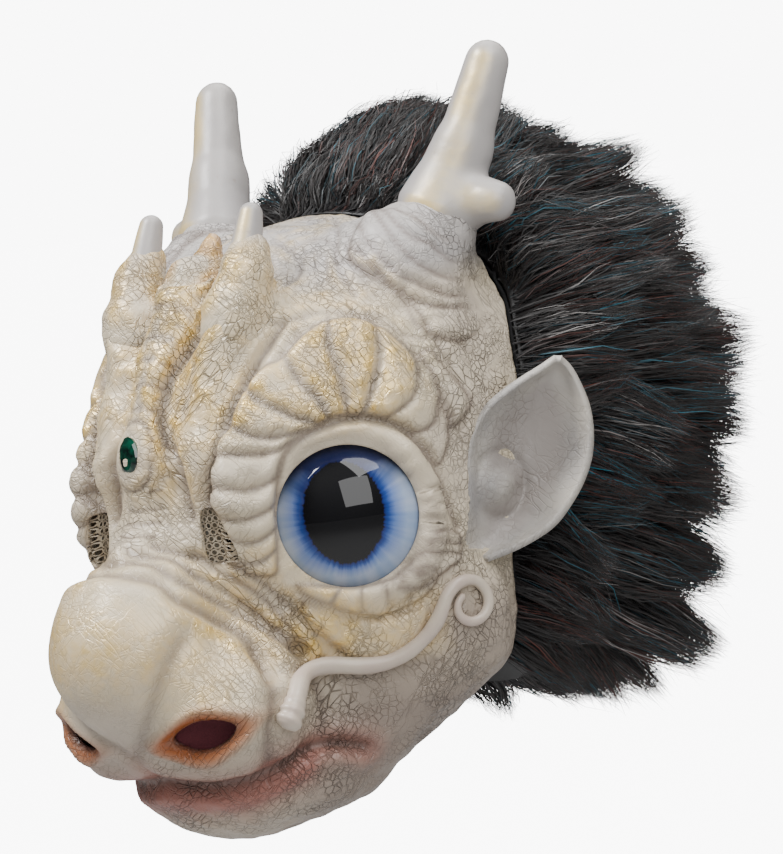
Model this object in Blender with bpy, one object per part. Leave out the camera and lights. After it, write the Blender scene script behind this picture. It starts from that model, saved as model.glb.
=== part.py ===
"""Dragon mask for stage wear: a cast latex face, a cloth hood and a long-pile mane.

The mask is made the way a slush-cast latex mask is. Its skin follows one modelled
head form, which is written here as a table of blended balls and limbs. The face, the
hood and the mane are laid on that form as walls, and the horns, spikes, ears and
whiskers stand on it. +Z is up, the face looks along -Y, and the origin is the point
where the wearer's crown bears on the inside of the mask.

Lengths in the tables are in millimetres, and MM turns them into metres. The form is
the same on both sides, so a table gives the mask's left side, where X is positive.
"""

from collections import namedtuple

import bmesh
import bpy
import numpy as np

MM = 0.001

SKIN_WALL = 3.0 * MM
LEAST_SKIN_WALL = 2.6 * MM
CLOTH_WALL = 2.0 * MM
SEAT_GAP = 0.35 * MM
SEAM_SETBACK = 0.5 * MM

# The stock domed eye: 61 mm across at its rim and 11 mm proud of it.
EYE_CENTRE = np.array((73.2, -54.8, -122.3)) * MM
EYE_RIM_RADIUS = 31.0 * MM
EYE_DOME_RADIUS = 40.5 * MM
EYE_DOME_RISE = 11.0 * MM
EYE_BACK_DEPTH = 8.5 * MM
EYE_HOLE_DEPTH = 30.0 * MM
EYE_OUT = np.array((0.7054, -0.7054, 0.0700))

# The faceted stone in the middle plate of the brow.
GEM_CENTRE = np.array((0.0, -107.2, -86.0)) * MM
GEM_OUT = np.array((0.0, -0.996, 0.085))
GEM_HALF_WIDTH = 6.0 * MM
GEM_HALF_HEIGHT = 9.0 * MM
GEM_SINK = 2.6 * MM

# The pierced windows that the wearer looks through.
WINDOW_CENTRE = np.array((36.0, -95.5, -122.5)) * MM
WINDOW_OUT = np.array((0.42, -0.90, 0.03))
WINDOW_HALF_WIDTH = 6.9 * MM
WINDOW_HALF_HEIGHT = 11.5 * MM
WINDOW_MESH_THICKNESS = 1.0 * MM
WINDOW_MESH_SINK = 2.0 * MM
WINDOW_COLUMNS = 4
WINDOW_ROWS = 6

CLOTH_CLEARANCE = 0.5 * MM

# The nostrils, and the cloth that closes each from behind.
NOSTRIL_CENTRE = np.array((41.0, -126.0, -204.0)) * MM
NOSTRIL_OUT = np.array((0.45, -0.86, -0.24))
NOSTRIL_SIZE = np.array((16.0, 7.8, 13.0)) * MM
NOSTRIL_CLOTH_SIZE = np.array((20.0, 12.0, 9.5)) * MM
NOSTRIL_CLOTH_SINK = 5.0 * MM

FACE_CELLS = 36
HOOD_CELLS = 16
FACE_DRIFTS = 40
HOOD_DRIFTS = 3

# A form is a ball (an ellipsoid of three radii), a limb (a tapered rod with round ends
# and two radii), or a ball or ring set square to the eye. Reach is how far round it
# the form melts into those above it.
Form = namedtuple("Form", "name kind at to size reach")

SKULL_FORMS = (
    Form("skull", "ball", (0, 18, -85), None, (101, 108, 88), 0),
    Form("cheeks", "ball", (0, -2, -150), None, (94, 84, 74), 30),
)

FACE_FORMS = SKULL_FORMS + (
    Form("orbit", "eye ball", (0, -3, -28), None, (50, 46, 28), 14),
    Form("inner brow", "ball", (43, -60, -116), None, (14, 40, 50), 14),
    Form("nose root", "ball", (0, -52, -112), None, (44, 42, 60), 14),
    Form("bridge", "limb", (0, -80, -132), (0, -116, -158), (26, 30), 20),
    Form("nose ball", "ball", (0, -120, -168), None, (38, 36, 35.5), 12),
    Form("nostril wing", "ball", (33, -100, -197), None, (30, 30, 28), 16),
    Form("muzzle", "limb", (0, -88, -190), (0, -20, -165), (42, 68), 20),
    Form("chin", "ball", (0, -66, -224), None, (52, 48, 35), 8),
    Form("jaw side", "limb", (38, -40, -216), (74, 0, -180), (27, 24), 24),
)

RELIEF_FORMS = FACE_FORMS + (
    Form("lid", "eye ring", (0, 0, -3), None, (36, 5), 5),
    Form("lower middle plate", "limb", (0, -93, -140), (0, -97, -88), (9, 10), 10),
    Form("upper middle plate", "limb", (0, -97, -88), (0, -60, -15), (10, 9), 10),
    Form("lower brow ridge", "limb", (23, -90, -140), (25, -88, -90), (9, 11), 8),
    Form("upper brow ridge", "limb", (25, -88, -90), (31, -65, -30), (11, 12), 8),
    Form("spike foot", "limb", (31, -65, -30), (30, -57, -12), (12, 9), 8),
    Form("horn mound", "limb", (60, 10, -22), (70, 26, -7), (25, 18.5), 20),
)

HORN_FORMS = (
    Form("cone", "limb", (71, 28, 0), (78, 40, 23), (18, 12.5), 0),
    Form("shaft", "limb", (78, 40, 23), (87, 54, 59), (12.5, 11), 6),
    Form("knob", "limb", (78, 36, 2), (98, 36, 0), (13, 9), 6),
)

SPIKE_FORMS = (Form("spike", "limb", (33, -59, -20), (32, -47, 9), (9.8, 5.6), 0),)

# How far from a horn's or a spike's middle line its skin is looked for.
HORN_REACH = 60.0 * MM
SPIKE_REACH = 20.0 * MM
RAY_STEP = 0.5 * MM

MANE_FORMS = (
    Form("crest", "ball", (0, 78, -62), None, (101, 104, 116), 0),
    Form("back", "ball", (0, 96, -92), None, (104, 96, 94), 30),
    Form("nape", "ball", (0, 104, -165), None, (88, 60, 66), 30),
)

# The edge where skin meets hood, from the middle of the crown down the left side,
# behind the horn and the ear, to the back of the jaw; then the skin's own edge under
# the chin, and the hood's own edge round the nape.
Place = namedtuple("Place", "x y z")

SKIN_TO_HOOD = (
    Place(0, 22, 3),
    Place(28, 25, 2),
    Place(50, 40, -3),
    Place(71, 58, -17),
    Place(88, 52, -35),
    Place(97, 40, -55),
    Place(101, 33, -80),
    Place(102, 30, -108),
    Place(98, 27, -138),
    Place(93, 18, -168),
    Place(85, 9, -194),
)
THROAT = (
    Place(64, -12, -222),
    Place(36, -34, -244),
    Place(0, -44, -252),
)
NAPE = (
    Place(73, 36, -199),
    Place(58, 56, -196),
    Place(32, 72, -192),
    Place(0, 78, -190),
)

# Points inside the head to which the bodies that trim other pieces are closed: each
# leans its closing cone past the edge of the wall that it stands for.
REAR_HEART = np.array((0.0, 45.0, -100.0)) * MM
FRONT_HEART = np.array((0.0, 32.0, -105.0)) * MM

# The ear's own plane: across runs outwards and back from its root, up runs to its tip.
EAR_ROOT = np.array((99.0, 6.0, -117.0)) * MM
EAR_ACROSS = np.array((0.66, 0.74, -0.13))
EAR_UP = np.array((0.03, 0.14, 0.99))
EAR_WALL = 3.0 * MM
EAR_CLEARANCE = 1.2 * MM

# Where the ear's two rims run at each height, how deep the cup between them is, and
# how far the front rim stands forward.
EarSection = namedtuple("EarSection", "height front back cup forward")

EAR_SECTIONS = (
    EarSection(-33, -7, -1, 1, -3),
    EarSection(-27, -10, 14, 6, -1),
    EarSection(-19, -9, 27, 11, 1),
    EarSection(-9, -8, 35, 14, 3),
    EarSection(1, -8, 40.5, 15, 4),
    EarSection(11, -8, 43.5, 15, 4),
    EarSection(21.5, -5, 44, 13, 3),
    EarSection(31, 2, 42.5, 10, 2),
    EarSection(40, 14, 39, 6, 1),
    EarSection(46, 24, 35.5, 3, 0),
    EarSection(49, 29, 32, 1, 0),
)

# The whisker's run over the cheek, root first, and the curl that it ends in.
WHISKER_RUN = (
    Place(66, -100, -204),
    Place(66, -96, -192),
    Place(60, -84, -183),
    Place(55, -71, -181),
    Place(60, -61, -184),
    Place(67, -53, -188),
    Place(74, -44, -190),
    Place(81, -36, -186),
    Place(86, -32, -177),
)
WHISKER_CURL_CENTRE = Place(96, -14, -168)
WHISKER_CURL_RADII = (13.5, 5.0)
WHISKER_CURL_TURNS = 1.25
WHISKER_CURL_START = 200.0
WHISKER_RADII = (3.4, 3.0, 1.6)
WHISKER_LIFT = 0.7
WHISKER_SIDES = 5
WHISKER_RINGS = 26

# A ring of locks: how far round from straight back it lies, how many locks it has in
# its half circle, and their length and width.
LockRing = namedtuple("LockRing", "tilt count length width")

LOCK_RINGS = (
    LockRing(9, 3, 44, 40),
    LockRing(28, 5, 46, 40),
    LockRing(47, 7, 48, 38),
    LockRing(66, 8, 46, 36),
)
MANE_LEAST = 4.0 * MM
MANE_RISE = 280.0 * MM
NAPE_TOP = -120.0 * MM
NAPE_RISE = 1.2
LOCK_HEART = np.array((0.0, 70.0, -95.0)) * MM
LOCK_SWEEP = np.array((0.0, 0.9, 0.0))
LOCK_DROOP = 9.0 * MM
LOCK_SINK = 16.0 * MM
LOCK_LOWEST_TURN = -70.0
LOCK_HIGHEST_TURN = 56.0


def unit(vectors):
    """Vectors scaled to length one."""
    return vectors / np.linalg.norm(vectors, axis=-1, keepdims=True)


def square_to(out):
    """Two directions square to the one given: one level, one as upright as can be."""
    out = unit(np.asarray(out, float))
    across = unit(np.cross((0.0, 0.0, 1.0), out))
    return across, np.cross(out, across), out


def in_frame(points, centre, out):
    """Points given by how far across, up and out from a centre they lie."""
    return (points - centre) @ np.array(square_to(out)).T


def ball_distance(offset, radii):
    """Distance to an ellipsoid: k (k - 1) / m, with k and m the offset's length
    over the radii and over their squares."""
    k = np.linalg.norm(offset / radii, axis=-1)
    m = np.linalg.norm(offset / radii**2, axis=-1)
    return k * (k - 1) / np.maximum(m, 1e-9)


def limb_distance(points, start, end, radii):
    """Distance to a tapered rod: the distance to the nearest point of its middle
    line, less the radius there."""
    line = end - start
    along = np.clip((points - start) @ line / (line @ line), 0, 1)
    nearest = start + along[..., None] * line
    return np.linalg.norm(points - nearest, axis=-1) - radii[0] - (radii[1] - radii[0]) * along


def form_distance(form, points):
    """Distance to one row of a form table."""
    at = np.array(form.at, float) * MM
    size = np.array(form.size, float) * MM
    if form.kind == "limb":
        return limb_distance(points, at, np.array(form.to, float) * MM, size)
    if form.kind == "ball":
        return ball_distance(points - at, size)
    beside_eye = in_frame(points, EYE_CENTRE, EYE_OUT) - at
    if form.kind == "eye ball":
        return ball_distance(beside_eye, size)
    from_axis = np.hypot(beside_eye[..., 0], beside_eye[..., 1])
    return np.hypot(from_axis - size[0], beside_eye[..., 2]) - size[1]


def smooth_union(first, second, reach):
    """The lesser of two distances, rounded off by up to a quarter of reach where
    they are within reach of each other."""
    if not reach:
        return np.minimum(first, second)
    near = np.maximum(reach - np.abs(first - second), 0) / reach
    return np.minimum(first, second) - near**2 * reach / 4


def distance(points, forms):
    """Distance to a whole table's surface, the same on both sides of the mask."""
    mirrored = np.array(points)
    mirrored[..., 0] = np.abs(mirrored[..., 0])
    total = form_distance(forms[0], mirrored)
    for form in forms[1:]:
        total = smooth_union(total, form_distance(form, mirrored), form.reach * MM)
    return total


def slope(points, forms):
    """The distance's gradient, from steps of a twentieth of a millimetre."""
    step = 0.05 * MM
    here = distance(points, forms)
    ahead = [distance(points + step * axis, forms) for axis in np.eye(3)]
    return here, np.stack([(value - here) / step for value in ahead], axis=-1)


def settle(points, forms, level=0.0, rounds=5):
    """Points moved along the gradient until they lie level from the surface."""
    for _ in range(rounds):
        value, gradient = slope(points, forms)
        steepness = np.maximum((gradient**2).sum(-1, keepdims=True), 0.05)
        points = points - (value - level)[..., None] * gradient / steepness
    return points


def outermost(start, directions, forms, level=0.0, reach=0.26, step=0.002):
    """Where rays from inside last leave the surface: the farthest sample that is
    inside, then bisection."""
    lengths = np.arange(0, reach, step)
    inside = np.stack(
        [distance(start + length * directions, forms) < level for length in lengths], -1
    )
    last = len(lengths) - 1 - np.argmax(inside[..., ::-1], axis=-1)
    near = lengths[last]
    far = near + step
    for _ in range(12):
        middle = (near + far) / 2
        value = distance(start + middle[..., None] * directions, forms)
        near = np.where(value < level, middle, near)
        far = np.where(value < level, far, middle)
    return start + near[..., None] * directions


def closed_edge(places, samples=720):
    """A smooth closed loop through places on the left side and their mirror images,
    by Catmull-Rom arcs, with the fraction of its length at each sample."""
    left = np.array(places, float) * MM
    loop = np.concatenate([left, left[-2:0:-1] * (-1, 1, 1)])
    count = len(loop)
    at = np.linspace(0, count, samples, endpoint=False)
    index = at.astype(int)
    t = (at - index)[:, None]
    before, here, after, beyond = (loop[(index + shift) % count] for shift in (-1, 0, 1, 2))
    curve = 0.5 * (
        2 * here
        + (after - before) * t
        + (2 * before - 5 * here + 4 * after - beyond) * t**2
        + (3 * here - before - 3 * after + beyond) * t**3
    )
    curve = np.concatenate([curve, curve[:1]])
    lengths = np.linalg.norm(np.diff(curve, axis=0), axis=1)
    fraction = np.concatenate([[0], np.cumsum(lengths)]) / lengths.sum()
    return curve, fraction


def round_square(cells):
    """A square grid bent to a disc: the radius is the ring's, the angle its place
    along the ring, as a turn from the top."""
    side = np.linspace(-1, 1, cells + 1)
    across, up = np.meshgrid(side, side)
    radius = np.maximum(np.abs(across), np.abs(up))
    safe_up = np.where(up == 0, 1, up)
    safe_across = np.where(across == 0, 1, across)
    beside = np.pi / 4 * up / safe_across
    above = np.pi / 2 - np.pi / 4 * across / safe_up
    angle = np.where(np.abs(across) > np.abs(up), beside, above)
    turned = (np.abs(across) > np.abs(up)) & (across < 0)
    turned |= (np.abs(across) <= np.abs(up)) & (up < 0)
    angle = angle + np.where(turned, np.pi, 0)
    return radius, (0.25 - angle / (2 * np.pi)) % 1


def laid_patch(places, ahead, heart, forms, cells, drifts):
    """A square grid laid on a form inside a closed edge: each point is where a ray
    from the heart, turned from ahead towards the edge in step with its radius,
    leaves the form. Then points drift to the middle of their neighbours and back
    on to the form, which evens them out."""
    curve, fraction = closed_edge(places)
    radius, turn = round_square(cells)
    edge = np.stack([np.interp(turn, fraction, axis) for axis in curve.T], axis=-1)
    towards = unit(edge - heart)
    ahead = unit(np.array(ahead, float))
    angle = np.arccos(np.clip(towards @ ahead, -1, 1))[..., None]
    part = radius[..., None] * angle
    rays = (np.sin(angle - part) * ahead + np.sin(part) * towards) / np.sin(angle)
    points = outermost(heart, unit(rays), forms)
    for _ in range(drifts):
        middle = points[:-2, 1:-1] + points[2:, 1:-1] + points[1:-1, :-2] + points[1:-1, 2:]
        points[1:-1, 1:-1] = settle(middle / 4, forms, rounds=1)
    return settle(points, forms)


def outward(grid):
    """Directions square to a grid, from the differences of its neighbours."""
    across = np.gradient(grid, axis=1)
    up = np.gradient(grid, axis=0)
    return unit(np.cross(across, up))


def drawn_in(inner, forms, least):
    """A coarse inner grid pushed inwards where one of its edges or diagonals comes
    nearer than the least wall to the outer form, as it would across a crease."""
    inner = inner.copy()
    low, high = np.s_[:-1], np.s_[1:]
    every = np.s_[:]
    pairs = (
        ((every, low), (every, high)),
        ((low, every), (high, every)),
        ((low, low), (high, high)),
        ((low, high), (high, low)),
    )
    for _ in range(8):
        push = np.zeros_like(inner)
        for start, end in pairs:
            for part in (0.3, 0.5, 0.7):
                between = (1 - part) * inner[start] + part * inner[end]
                value, gradient = slope(between, forms)
                short = np.maximum(value + least, 0)[..., None]
                push[start] -= 0.3 * (1 - part) * short * unit(gradient)
                push[end] -= 0.3 * part * short * unit(gradient)
        inner += push
    return inner


def cut_back(grid, part=0.12):
    """A grid whose edge is drawn a part of the way to the next row of points, so that
    the wall's edge slopes inwards."""
    grid = grid.copy()
    for _ in range(2):
        grid[0] += part * (grid[1] - grid[0])
        grid[-1] += part * (grid[-2] - grid[-1])
        grid = grid.swapaxes(0, 1)
    return grid


def grid_faces(rows, columns, first=0):
    """The triangles of a grid of points. The diagonals of its two halves lean opposite
    ways, so that a mirrored grid has mirrored triangles."""
    index = first + np.arange(rows * columns).reshape(rows, columns)
    a, b, c, d = index[:-1, :-1], index[:-1, 1:], index[1:, 1:], index[1:, :-1]
    middle = (columns - 1) // 2
    halves = []
    for half, split in ((np.s_[:, :middle], (a, b, d, b, c, d)), (np.s_[:, middle:], (a, b, c, a, c, d))):
        corners = [corner[half].ravel() for corner in split]
        halves += [np.stack(corners[:3], axis=-1), np.stack(corners[3:], axis=-1)]
    return np.concatenate(halves).tolist()


def rim_of(side, first=0):
    """The indices of a square grid's edge, in order round it."""
    index = first + np.arange(side * side).reshape(side, side)
    return np.concatenate(
        [index[0, :-1], index[:-1, -1], index[-1, :0:-1], index[:0:-1, 0]]
    ).tolist()


def solid(name, points, faces, colour, roughness, metallic=0.0):
    """One named object from points and faces, closed, facing out, with its own
    material."""
    mesh = bpy.data.meshes.new(name)
    mesh.from_pydata([tuple(map(float, point)) for point in points], [], faces)
    work = bmesh.new()
    work.from_mesh(mesh)
    bmesh.ops.remove_doubles(work, verts=work.verts, dist=0.001 * MM)
    bmesh.ops.recalc_face_normals(work, faces=work.faces)
    if work.calc_volume(signed=True) < 0:
        bmesh.ops.reverse_faces(work, faces=work.faces)
    work.to_mesh(mesh)
    work.free()
    mesh.shade_smooth()
    mesh.set_sharp_from_angle(angle=np.radians(50))
    material = bpy.data.materials.new(name + "_finish")
    material.use_nodes = True
    shader = material.node_tree.nodes["Principled BSDF"]
    shader.inputs["Base Color"].default_value = (*colour, 1.0)
    shader.inputs["Roughness"].default_value = roughness
    shader.inputs["Metallic"].default_value = metallic
    mesh.materials.append(material)
    piece = bpy.data.objects.new(name, mesh)
    bpy.context.scene.collection.objects.link(piece)
    return piece


def cutter(name, points, faces):
    """A body that only cuts or trims others."""
    body = solid(name, points, faces, (0.5, 0.5, 0.5), 0.5)
    body.hide_render = True
    body.display_type = "WIRE"
    return body


def trim(piece, body, operation="DIFFERENCE"):
    """Cut a piece by a body, or join the body to it."""
    boolean = piece.modifiers.new(body.name, "BOOLEAN")
    boolean.operation = operation
    boolean.solver = "EXACT"
    boolean.object = body


def walled(outer, inner):
    """A closed wall between two grids of the same outline, the inner of which has
    every second point of the outer."""
    side = len(outer)
    inner_side = len(inner)
    first = side * side
    points = np.concatenate([outer.reshape(-1, 3), inner.reshape(-1, 3)])
    faces = grid_faces(side, side)
    faces += [face[::-1] for face in grid_faces(inner_side, inner_side, first)]
    outer_rim = rim_of(side)
    inner_rim = rim_of(inner_side, first)
    for k, corner in enumerate(inner_rim):
        following = inner_rim[(k + 1) % len(inner_rim)]
        a, b, c = (outer_rim[(2 * k + shift) % len(outer_rim)] for shift in range(3))
        faces += [(corner, b, a), (corner, following, b), (following, c, b)]
    return points, faces


def even_wall(outer, inner):
    """A closed wall between two grids with the same number of points."""
    side = len(outer)
    first = side * side
    points = np.concatenate([outer.reshape(-1, 3), inner.reshape(-1, 3)])
    faces = grid_faces(side, side)
    faces += [face[::-1] for face in grid_faces(side, side, first)]
    outer_rim = rim_of(side)
    inner_rim = rim_of(side, first)
    for k, corner in enumerate(outer_rim):
        following = (k + 1) % len(outer_rim)
        faces.append((outer_rim[following], corner, inner_rim[k], inner_rim[following]))
    return points, faces


def filled(grid, heart):
    """A grid closed into a body by a fan from its rim to a point inside."""
    side = len(grid)
    points = np.concatenate([grid.reshape(-1, 3), [heart]])
    rim = rim_of(side)
    faces = grid_faces(side, side)
    faces += [(rim[k - 1], side * side, corner) for k, corner in enumerate(rim)]
    return points, faces


def turned(profile, centre, out, spokes, across_by_up=(1.0, 1.0)):
    """A profile of (radius, height) rows turned about a direction, closed at both
    ends by a point."""
    across, up, out = square_to(out)
    angle = np.arange(spokes) * 2 * np.pi / spokes
    round_about = np.cos(angle)[:, None] * across * across_by_up[0]
    round_about = round_about + np.sin(angle)[:, None] * up * across_by_up[1]
    rings = [centre + radius * round_about + height * out for radius, height in profile]
    return ringed(rings, centre + profile[0][1] * out, centre + profile[-1][1] * out)


def ringed(rings, first_tip, last_tip):
    """A closed body from rings of equal count and a point at each end."""
    spokes = len(rings[0])
    points = np.concatenate([*rings, [first_tip], [last_tip]])
    faces = []
    for row in range(len(rings) - 1):
        for k in range(spokes):
            following = (k + 1) % spokes
            low, high = row * spokes, (row + 1) * spokes
            faces.append((low + k, low + following, high + following, high + k))
    last = (len(rings) - 1) * spokes
    for k in range(spokes):
        following = (k + 1) % spokes
        faces.append((following, k, len(points) - 2))
        faces.append((last + k, last + following, len(points) - 1))
    return points, faces


def mirror_image(points):
    """The other side's copy of points on the mask's left."""
    return points * np.array((-1.0, 1.0, 1.0))


def on_both_sides(name, points, faces, *finish):
    """A left and a right piece of the same shape."""
    left = solid(name + "_left", points, faces, *finish)
    right = solid(name + "_right", mirror_image(points), faces, *finish)
    return left, right


def standing_body(start, end, forms, rings, spokes, reach, level=0.0):
    """The skin of a form about its middle line: rays leave each point of the line
    square to it, and fan round both ends."""
    start = np.array(start, float) * MM
    end = np.array(end, float) * MM
    across, up, along = square_to(end - start)
    angle = np.arange(spokes) * 2 * np.pi / spokes
    about = np.cos(angle)[:, None] * across + np.sin(angle)[:, None] * up
    fan = np.radians((65, 40, 18))
    stations = [(start, -lean) for lean in fan]
    stations += [(start + part * (end - start), 0.0) for part in np.linspace(0, 1, rings)]
    stations += [(end, lean) for lean in fan[::-1]]
    ring_list = []
    for place, lean in stations:
        rays = np.cos(lean) * about + np.sin(lean) * along
        ring_list.append(outermost(place, rays, forms, level, reach, RAY_STEP))
    tips = [
        outermost(place, direction[None], forms, level, reach, RAY_STEP)[0]
        for place, direction in ((start, -along), (end, along))
    ]
    return ringed(ring_list, tips[0], tips[1])


def carried_tube(path, radii, sides):
    """A round rod along a path, with a ring square to the path at each point."""
    tangent = unit(np.gradient(path, axis=0))
    level = unit(np.cross(tangent, (0.3, -0.9, 0.3)))
    other = np.cross(tangent, level)
    angle = np.arange(sides) * 2 * np.pi / sides
    about = np.cos(angle)[None, :, None] * level[:, None]
    about = about + np.sin(angle)[None, :, None] * other[:, None]
    rings = path[:, None] + radii[:, None, None] * about
    first_tip = path[0] - tangent[0] * radii[0] * 0.6
    last_tip = path[-1] + tangent[-1] * radii[-1] * 0.8
    return ringed(list(rings), first_tip, last_tip)


def clear_scene():
    """Take away whatever the scene holds."""
    for item in list(bpy.data.objects):
        bpy.data.objects.remove(item, do_unlink=True)


def make_face():
    """The cast skin, its eye holes, windows, nostrils and the seat of the stone."""
    heart = np.array((0.0, -25.0, -112.0)) * MM
    outer = laid_patch(
        SKIN_TO_HOOD + THROAT, (0, -1, -0.25), heart, RELIEF_FORMS, FACE_CELLS, FACE_DRIFTS
    )
    inner = settle(outer[::2, ::2], FACE_FORMS, -SKIN_WALL)
    inner = cut_back(drawn_in(inner, RELIEF_FORMS, LEAST_SKIN_WALL))
    points, faces = walled(outer, inner)
    face = solid("face_shell", points, faces, (0.52, 0.46, 0.38), 0.42)
    hole = turned(
        ((EYE_RIM_RADIUS + SEAT_GAP, -EYE_HOLE_DEPTH), (EYE_RIM_RADIUS + SEAT_GAP, EYE_HOLE_DEPTH)),
        EYE_CENTRE, EYE_OUT, 24,
    )
    nostril = placed_ball(NOSTRIL_CENTRE, NOSTRIL_OUT, NOSTRIL_SIZE)
    window = window_outline(SEAT_GAP, (-20 * MM, 20 * MM))
    for number, shape in enumerate((hole, nostril, window)):
        for side, points in (("left", shape[0]), ("right", mirror_image(shape[0]))):
            trim(face, cutter(f"opening_{number}_{side}", points, shape[1]))
    rim = 1 + SEAT_GAP / GEM_HALF_WIDTH
    seat = turned(
        ((rim, -GEM_SINK - SEAT_GAP), (rim, 12 * MM)), GEM_CENTRE, GEM_OUT, 12,
        (GEM_HALF_WIDTH, GEM_HALF_HEIGHT),
    )
    trim(face, cutter("gem_seat", *seat))
    cover = cutter("over_skin", *filled(outer + SEAT_GAP * outward(outer), REAR_HEART))
    hollow = filled(inner - CLOTH_CLEARANCE * outward(inner), heart)
    return cover, hollow


def placed_ball(centre, out, radii):
    """An ellipsoid set square to a direction, as closed rings."""
    across, up, out = square_to(out)
    lean = np.radians(np.linspace(-72, 72, 7))
    angle = np.arange(14) * 2 * np.pi / 14
    rings = [
        centre
        + np.cos(tilt) * np.cos(angle)[:, None] * across * radii[0]
        + np.cos(tilt) * np.sin(angle)[:, None] * up * radii[1]
        + np.sin(tilt) * out * radii[2]
        for tilt in lean
    ]
    return ringed(rings, centre - out * radii[2], centre + out * radii[2])


def window_place(across_by, up_by, out_by):
    """A point given in the window's own plane. Its outline leans with the brow: it is
    narrow at the top, wide at the bottom, and shears towards the eye as it falls."""
    across, up, out = square_to(WINDOW_OUT)
    width = WINDOW_HALF_WIDTH * (1 - 0.28 * up_by)
    sideways = across_by * width - 0.35 * up_by * WINDOW_HALF_WIDTH
    return WINDOW_CENTRE + sideways * across + up_by * WINDOW_HALF_HEIGHT * up + out_by * out


def window_outline(margin, depths):
    """The window's outline, grown by a margin, between two depths."""
    grow = 1 + margin / WINDOW_HALF_WIDTH
    corners = ((-grow, -grow), (grow, -grow), (grow, grow), (-grow, grow))
    points = [window_place(a, b, depth) for depth in depths for a, b in corners]
    faces = [(0, 1, 2, 3), (7, 6, 5, 4)]
    faces += [(k, (k + 1) % 4, 4 + (k + 1) % 4, 4 + k) for k in range(4)]
    return np.array(points), faces


def make_windows():
    """A pierced plate in each window: every cell is a frame of four quads about a
    hole, made thick by its back and the holes' walls."""
    columns, rows = WINDOW_COLUMNS, WINDOW_ROWS
    bar = 0.24
    depths = (-WINDOW_MESH_SINK, -WINDOW_MESH_SINK - WINDOW_MESH_THICKNESS)
    points = []
    lattice = {}

    def corner(column, row, layer):
        key = (round(column, 3), round(row, 3), layer)
        if key not in lattice:
            lattice[key] = len(points)
            at = (2 * column / columns - 1, 2 * row / rows - 1)
            points.append(window_place(*at, depths[layer]))
        return lattice[key]

    faces = []
    for row in range(rows):
        for column in range(columns):
            outside = ((0, 0), (1, 0), (1, 1), (0, 1))
            inside = tuple((bar + a * (1 - 2 * bar), bar + b * (1 - 2 * bar)) for a, b in outside)
            for k in range(4):
                following = (k + 1) % 4
                ring = (outside[k], outside[following], inside[following], inside[k])
                front = [corner(column + a, row + b, 0) for a, b in ring]
                back = [corner(column + a, row + b, 1) for a, b in ring]
                faces += [tuple(front), tuple(back[::-1])]
                faces.append((front[3], front[2], back[2], back[3]))
    for step in range(columns):
        faces += [edge_wall(corner, (step, 0), (step + 1, 0))]
        faces += [edge_wall(corner, (step + 1, rows), (step, rows))]
    for step in range(rows):
        faces += [edge_wall(corner, (columns, step), (columns, step + 1))]
        faces += [edge_wall(corner, (0, step + 1), (0, step))]
    on_both_sides("window_mesh", np.array(points), faces, (0.35, 0.31, 0.27), 0.5, 0.6)


def edge_wall(corner, start, end):
    """The quad that closes the plate's outer edge between two lattice corners."""
    return (
        corner(*end, 0),
        corner(*start, 0),
        corner(*start, 1),
        corner(*end, 1),
    )


def make_eyes():
    """Each eye: a dome of a sphere on a short cylinder that the lid holds."""
    centre_height = EYE_DOME_RISE - EYE_DOME_RADIUS
    widest = np.arcsin((EYE_RIM_RADIUS - SEAT_GAP / 2) / EYE_DOME_RADIUS)
    profile = [(EYE_RIM_RADIUS - SEAT_GAP / 2, -EYE_BACK_DEPTH)]
    for lean in np.linspace(widest, 0.18, 6):
        profile.append(
            (EYE_DOME_RADIUS * np.sin(lean), centre_height + EYE_DOME_RADIUS * np.cos(lean))
        )
    points, faces = turned(profile, EYE_CENTRE, EYE_OUT, 24)
    points[-1] = EYE_CENTRE + EYE_DOME_RISE * unit(EYE_OUT)
    on_both_sides("eye", points, faces, (0.05, 0.07, 0.16), 0.06)


def make_gem():
    """The stone: a girdle, a sloping crown of facets and a flat table."""
    profile = ((0.96, -GEM_SINK), (1.0, 0.0), (0.84, 1.4 * MM), (0.55, 2.3 * MM))
    points, faces = turned(
        profile, GEM_CENTRE, GEM_OUT, 12, (GEM_HALF_WIDTH, GEM_HALF_HEIGHT)
    )
    solid("forehead_gem", points, faces, (0.0, 0.16, 0.12), 0.05)


def make_horns(covers):
    """The straight horns with their knobs, cut to the skin that they stand on, and
    the bodies that keep the mane off them."""
    start, end = (71, 28, -2), (87, 54, 59)
    points, faces = standing_body(start, end, HORN_FORMS, 8, 14, HORN_REACH)
    for horn in on_both_sides("horn", points, faces, (0.5, 0.5, 0.49), 0.4):
        for cover in covers:
            trim(horn, cover)
    wide, faces = standing_body(start, end, HORN_FORMS, 7, 12, HORN_REACH, 1.2 * MM)
    return [
        cutter("round_horn_left", wide, faces),
        cutter("round_horn_right", mirror_image(wide), faces),
    ]


def make_spikes(cover):
    """The two spikes that end the brow ridges."""
    foot, tip = SPIKE_FORMS[0].at, SPIKE_FORMS[0].to
    points, faces = standing_body(foot, tip, SPIKE_FORMS, 5, 10, SPIKE_REACH)
    for spike in on_both_sides("brow_spike", points, faces, (0.55, 0.5, 0.42), 0.4):
        trim(spike, cover)


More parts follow.
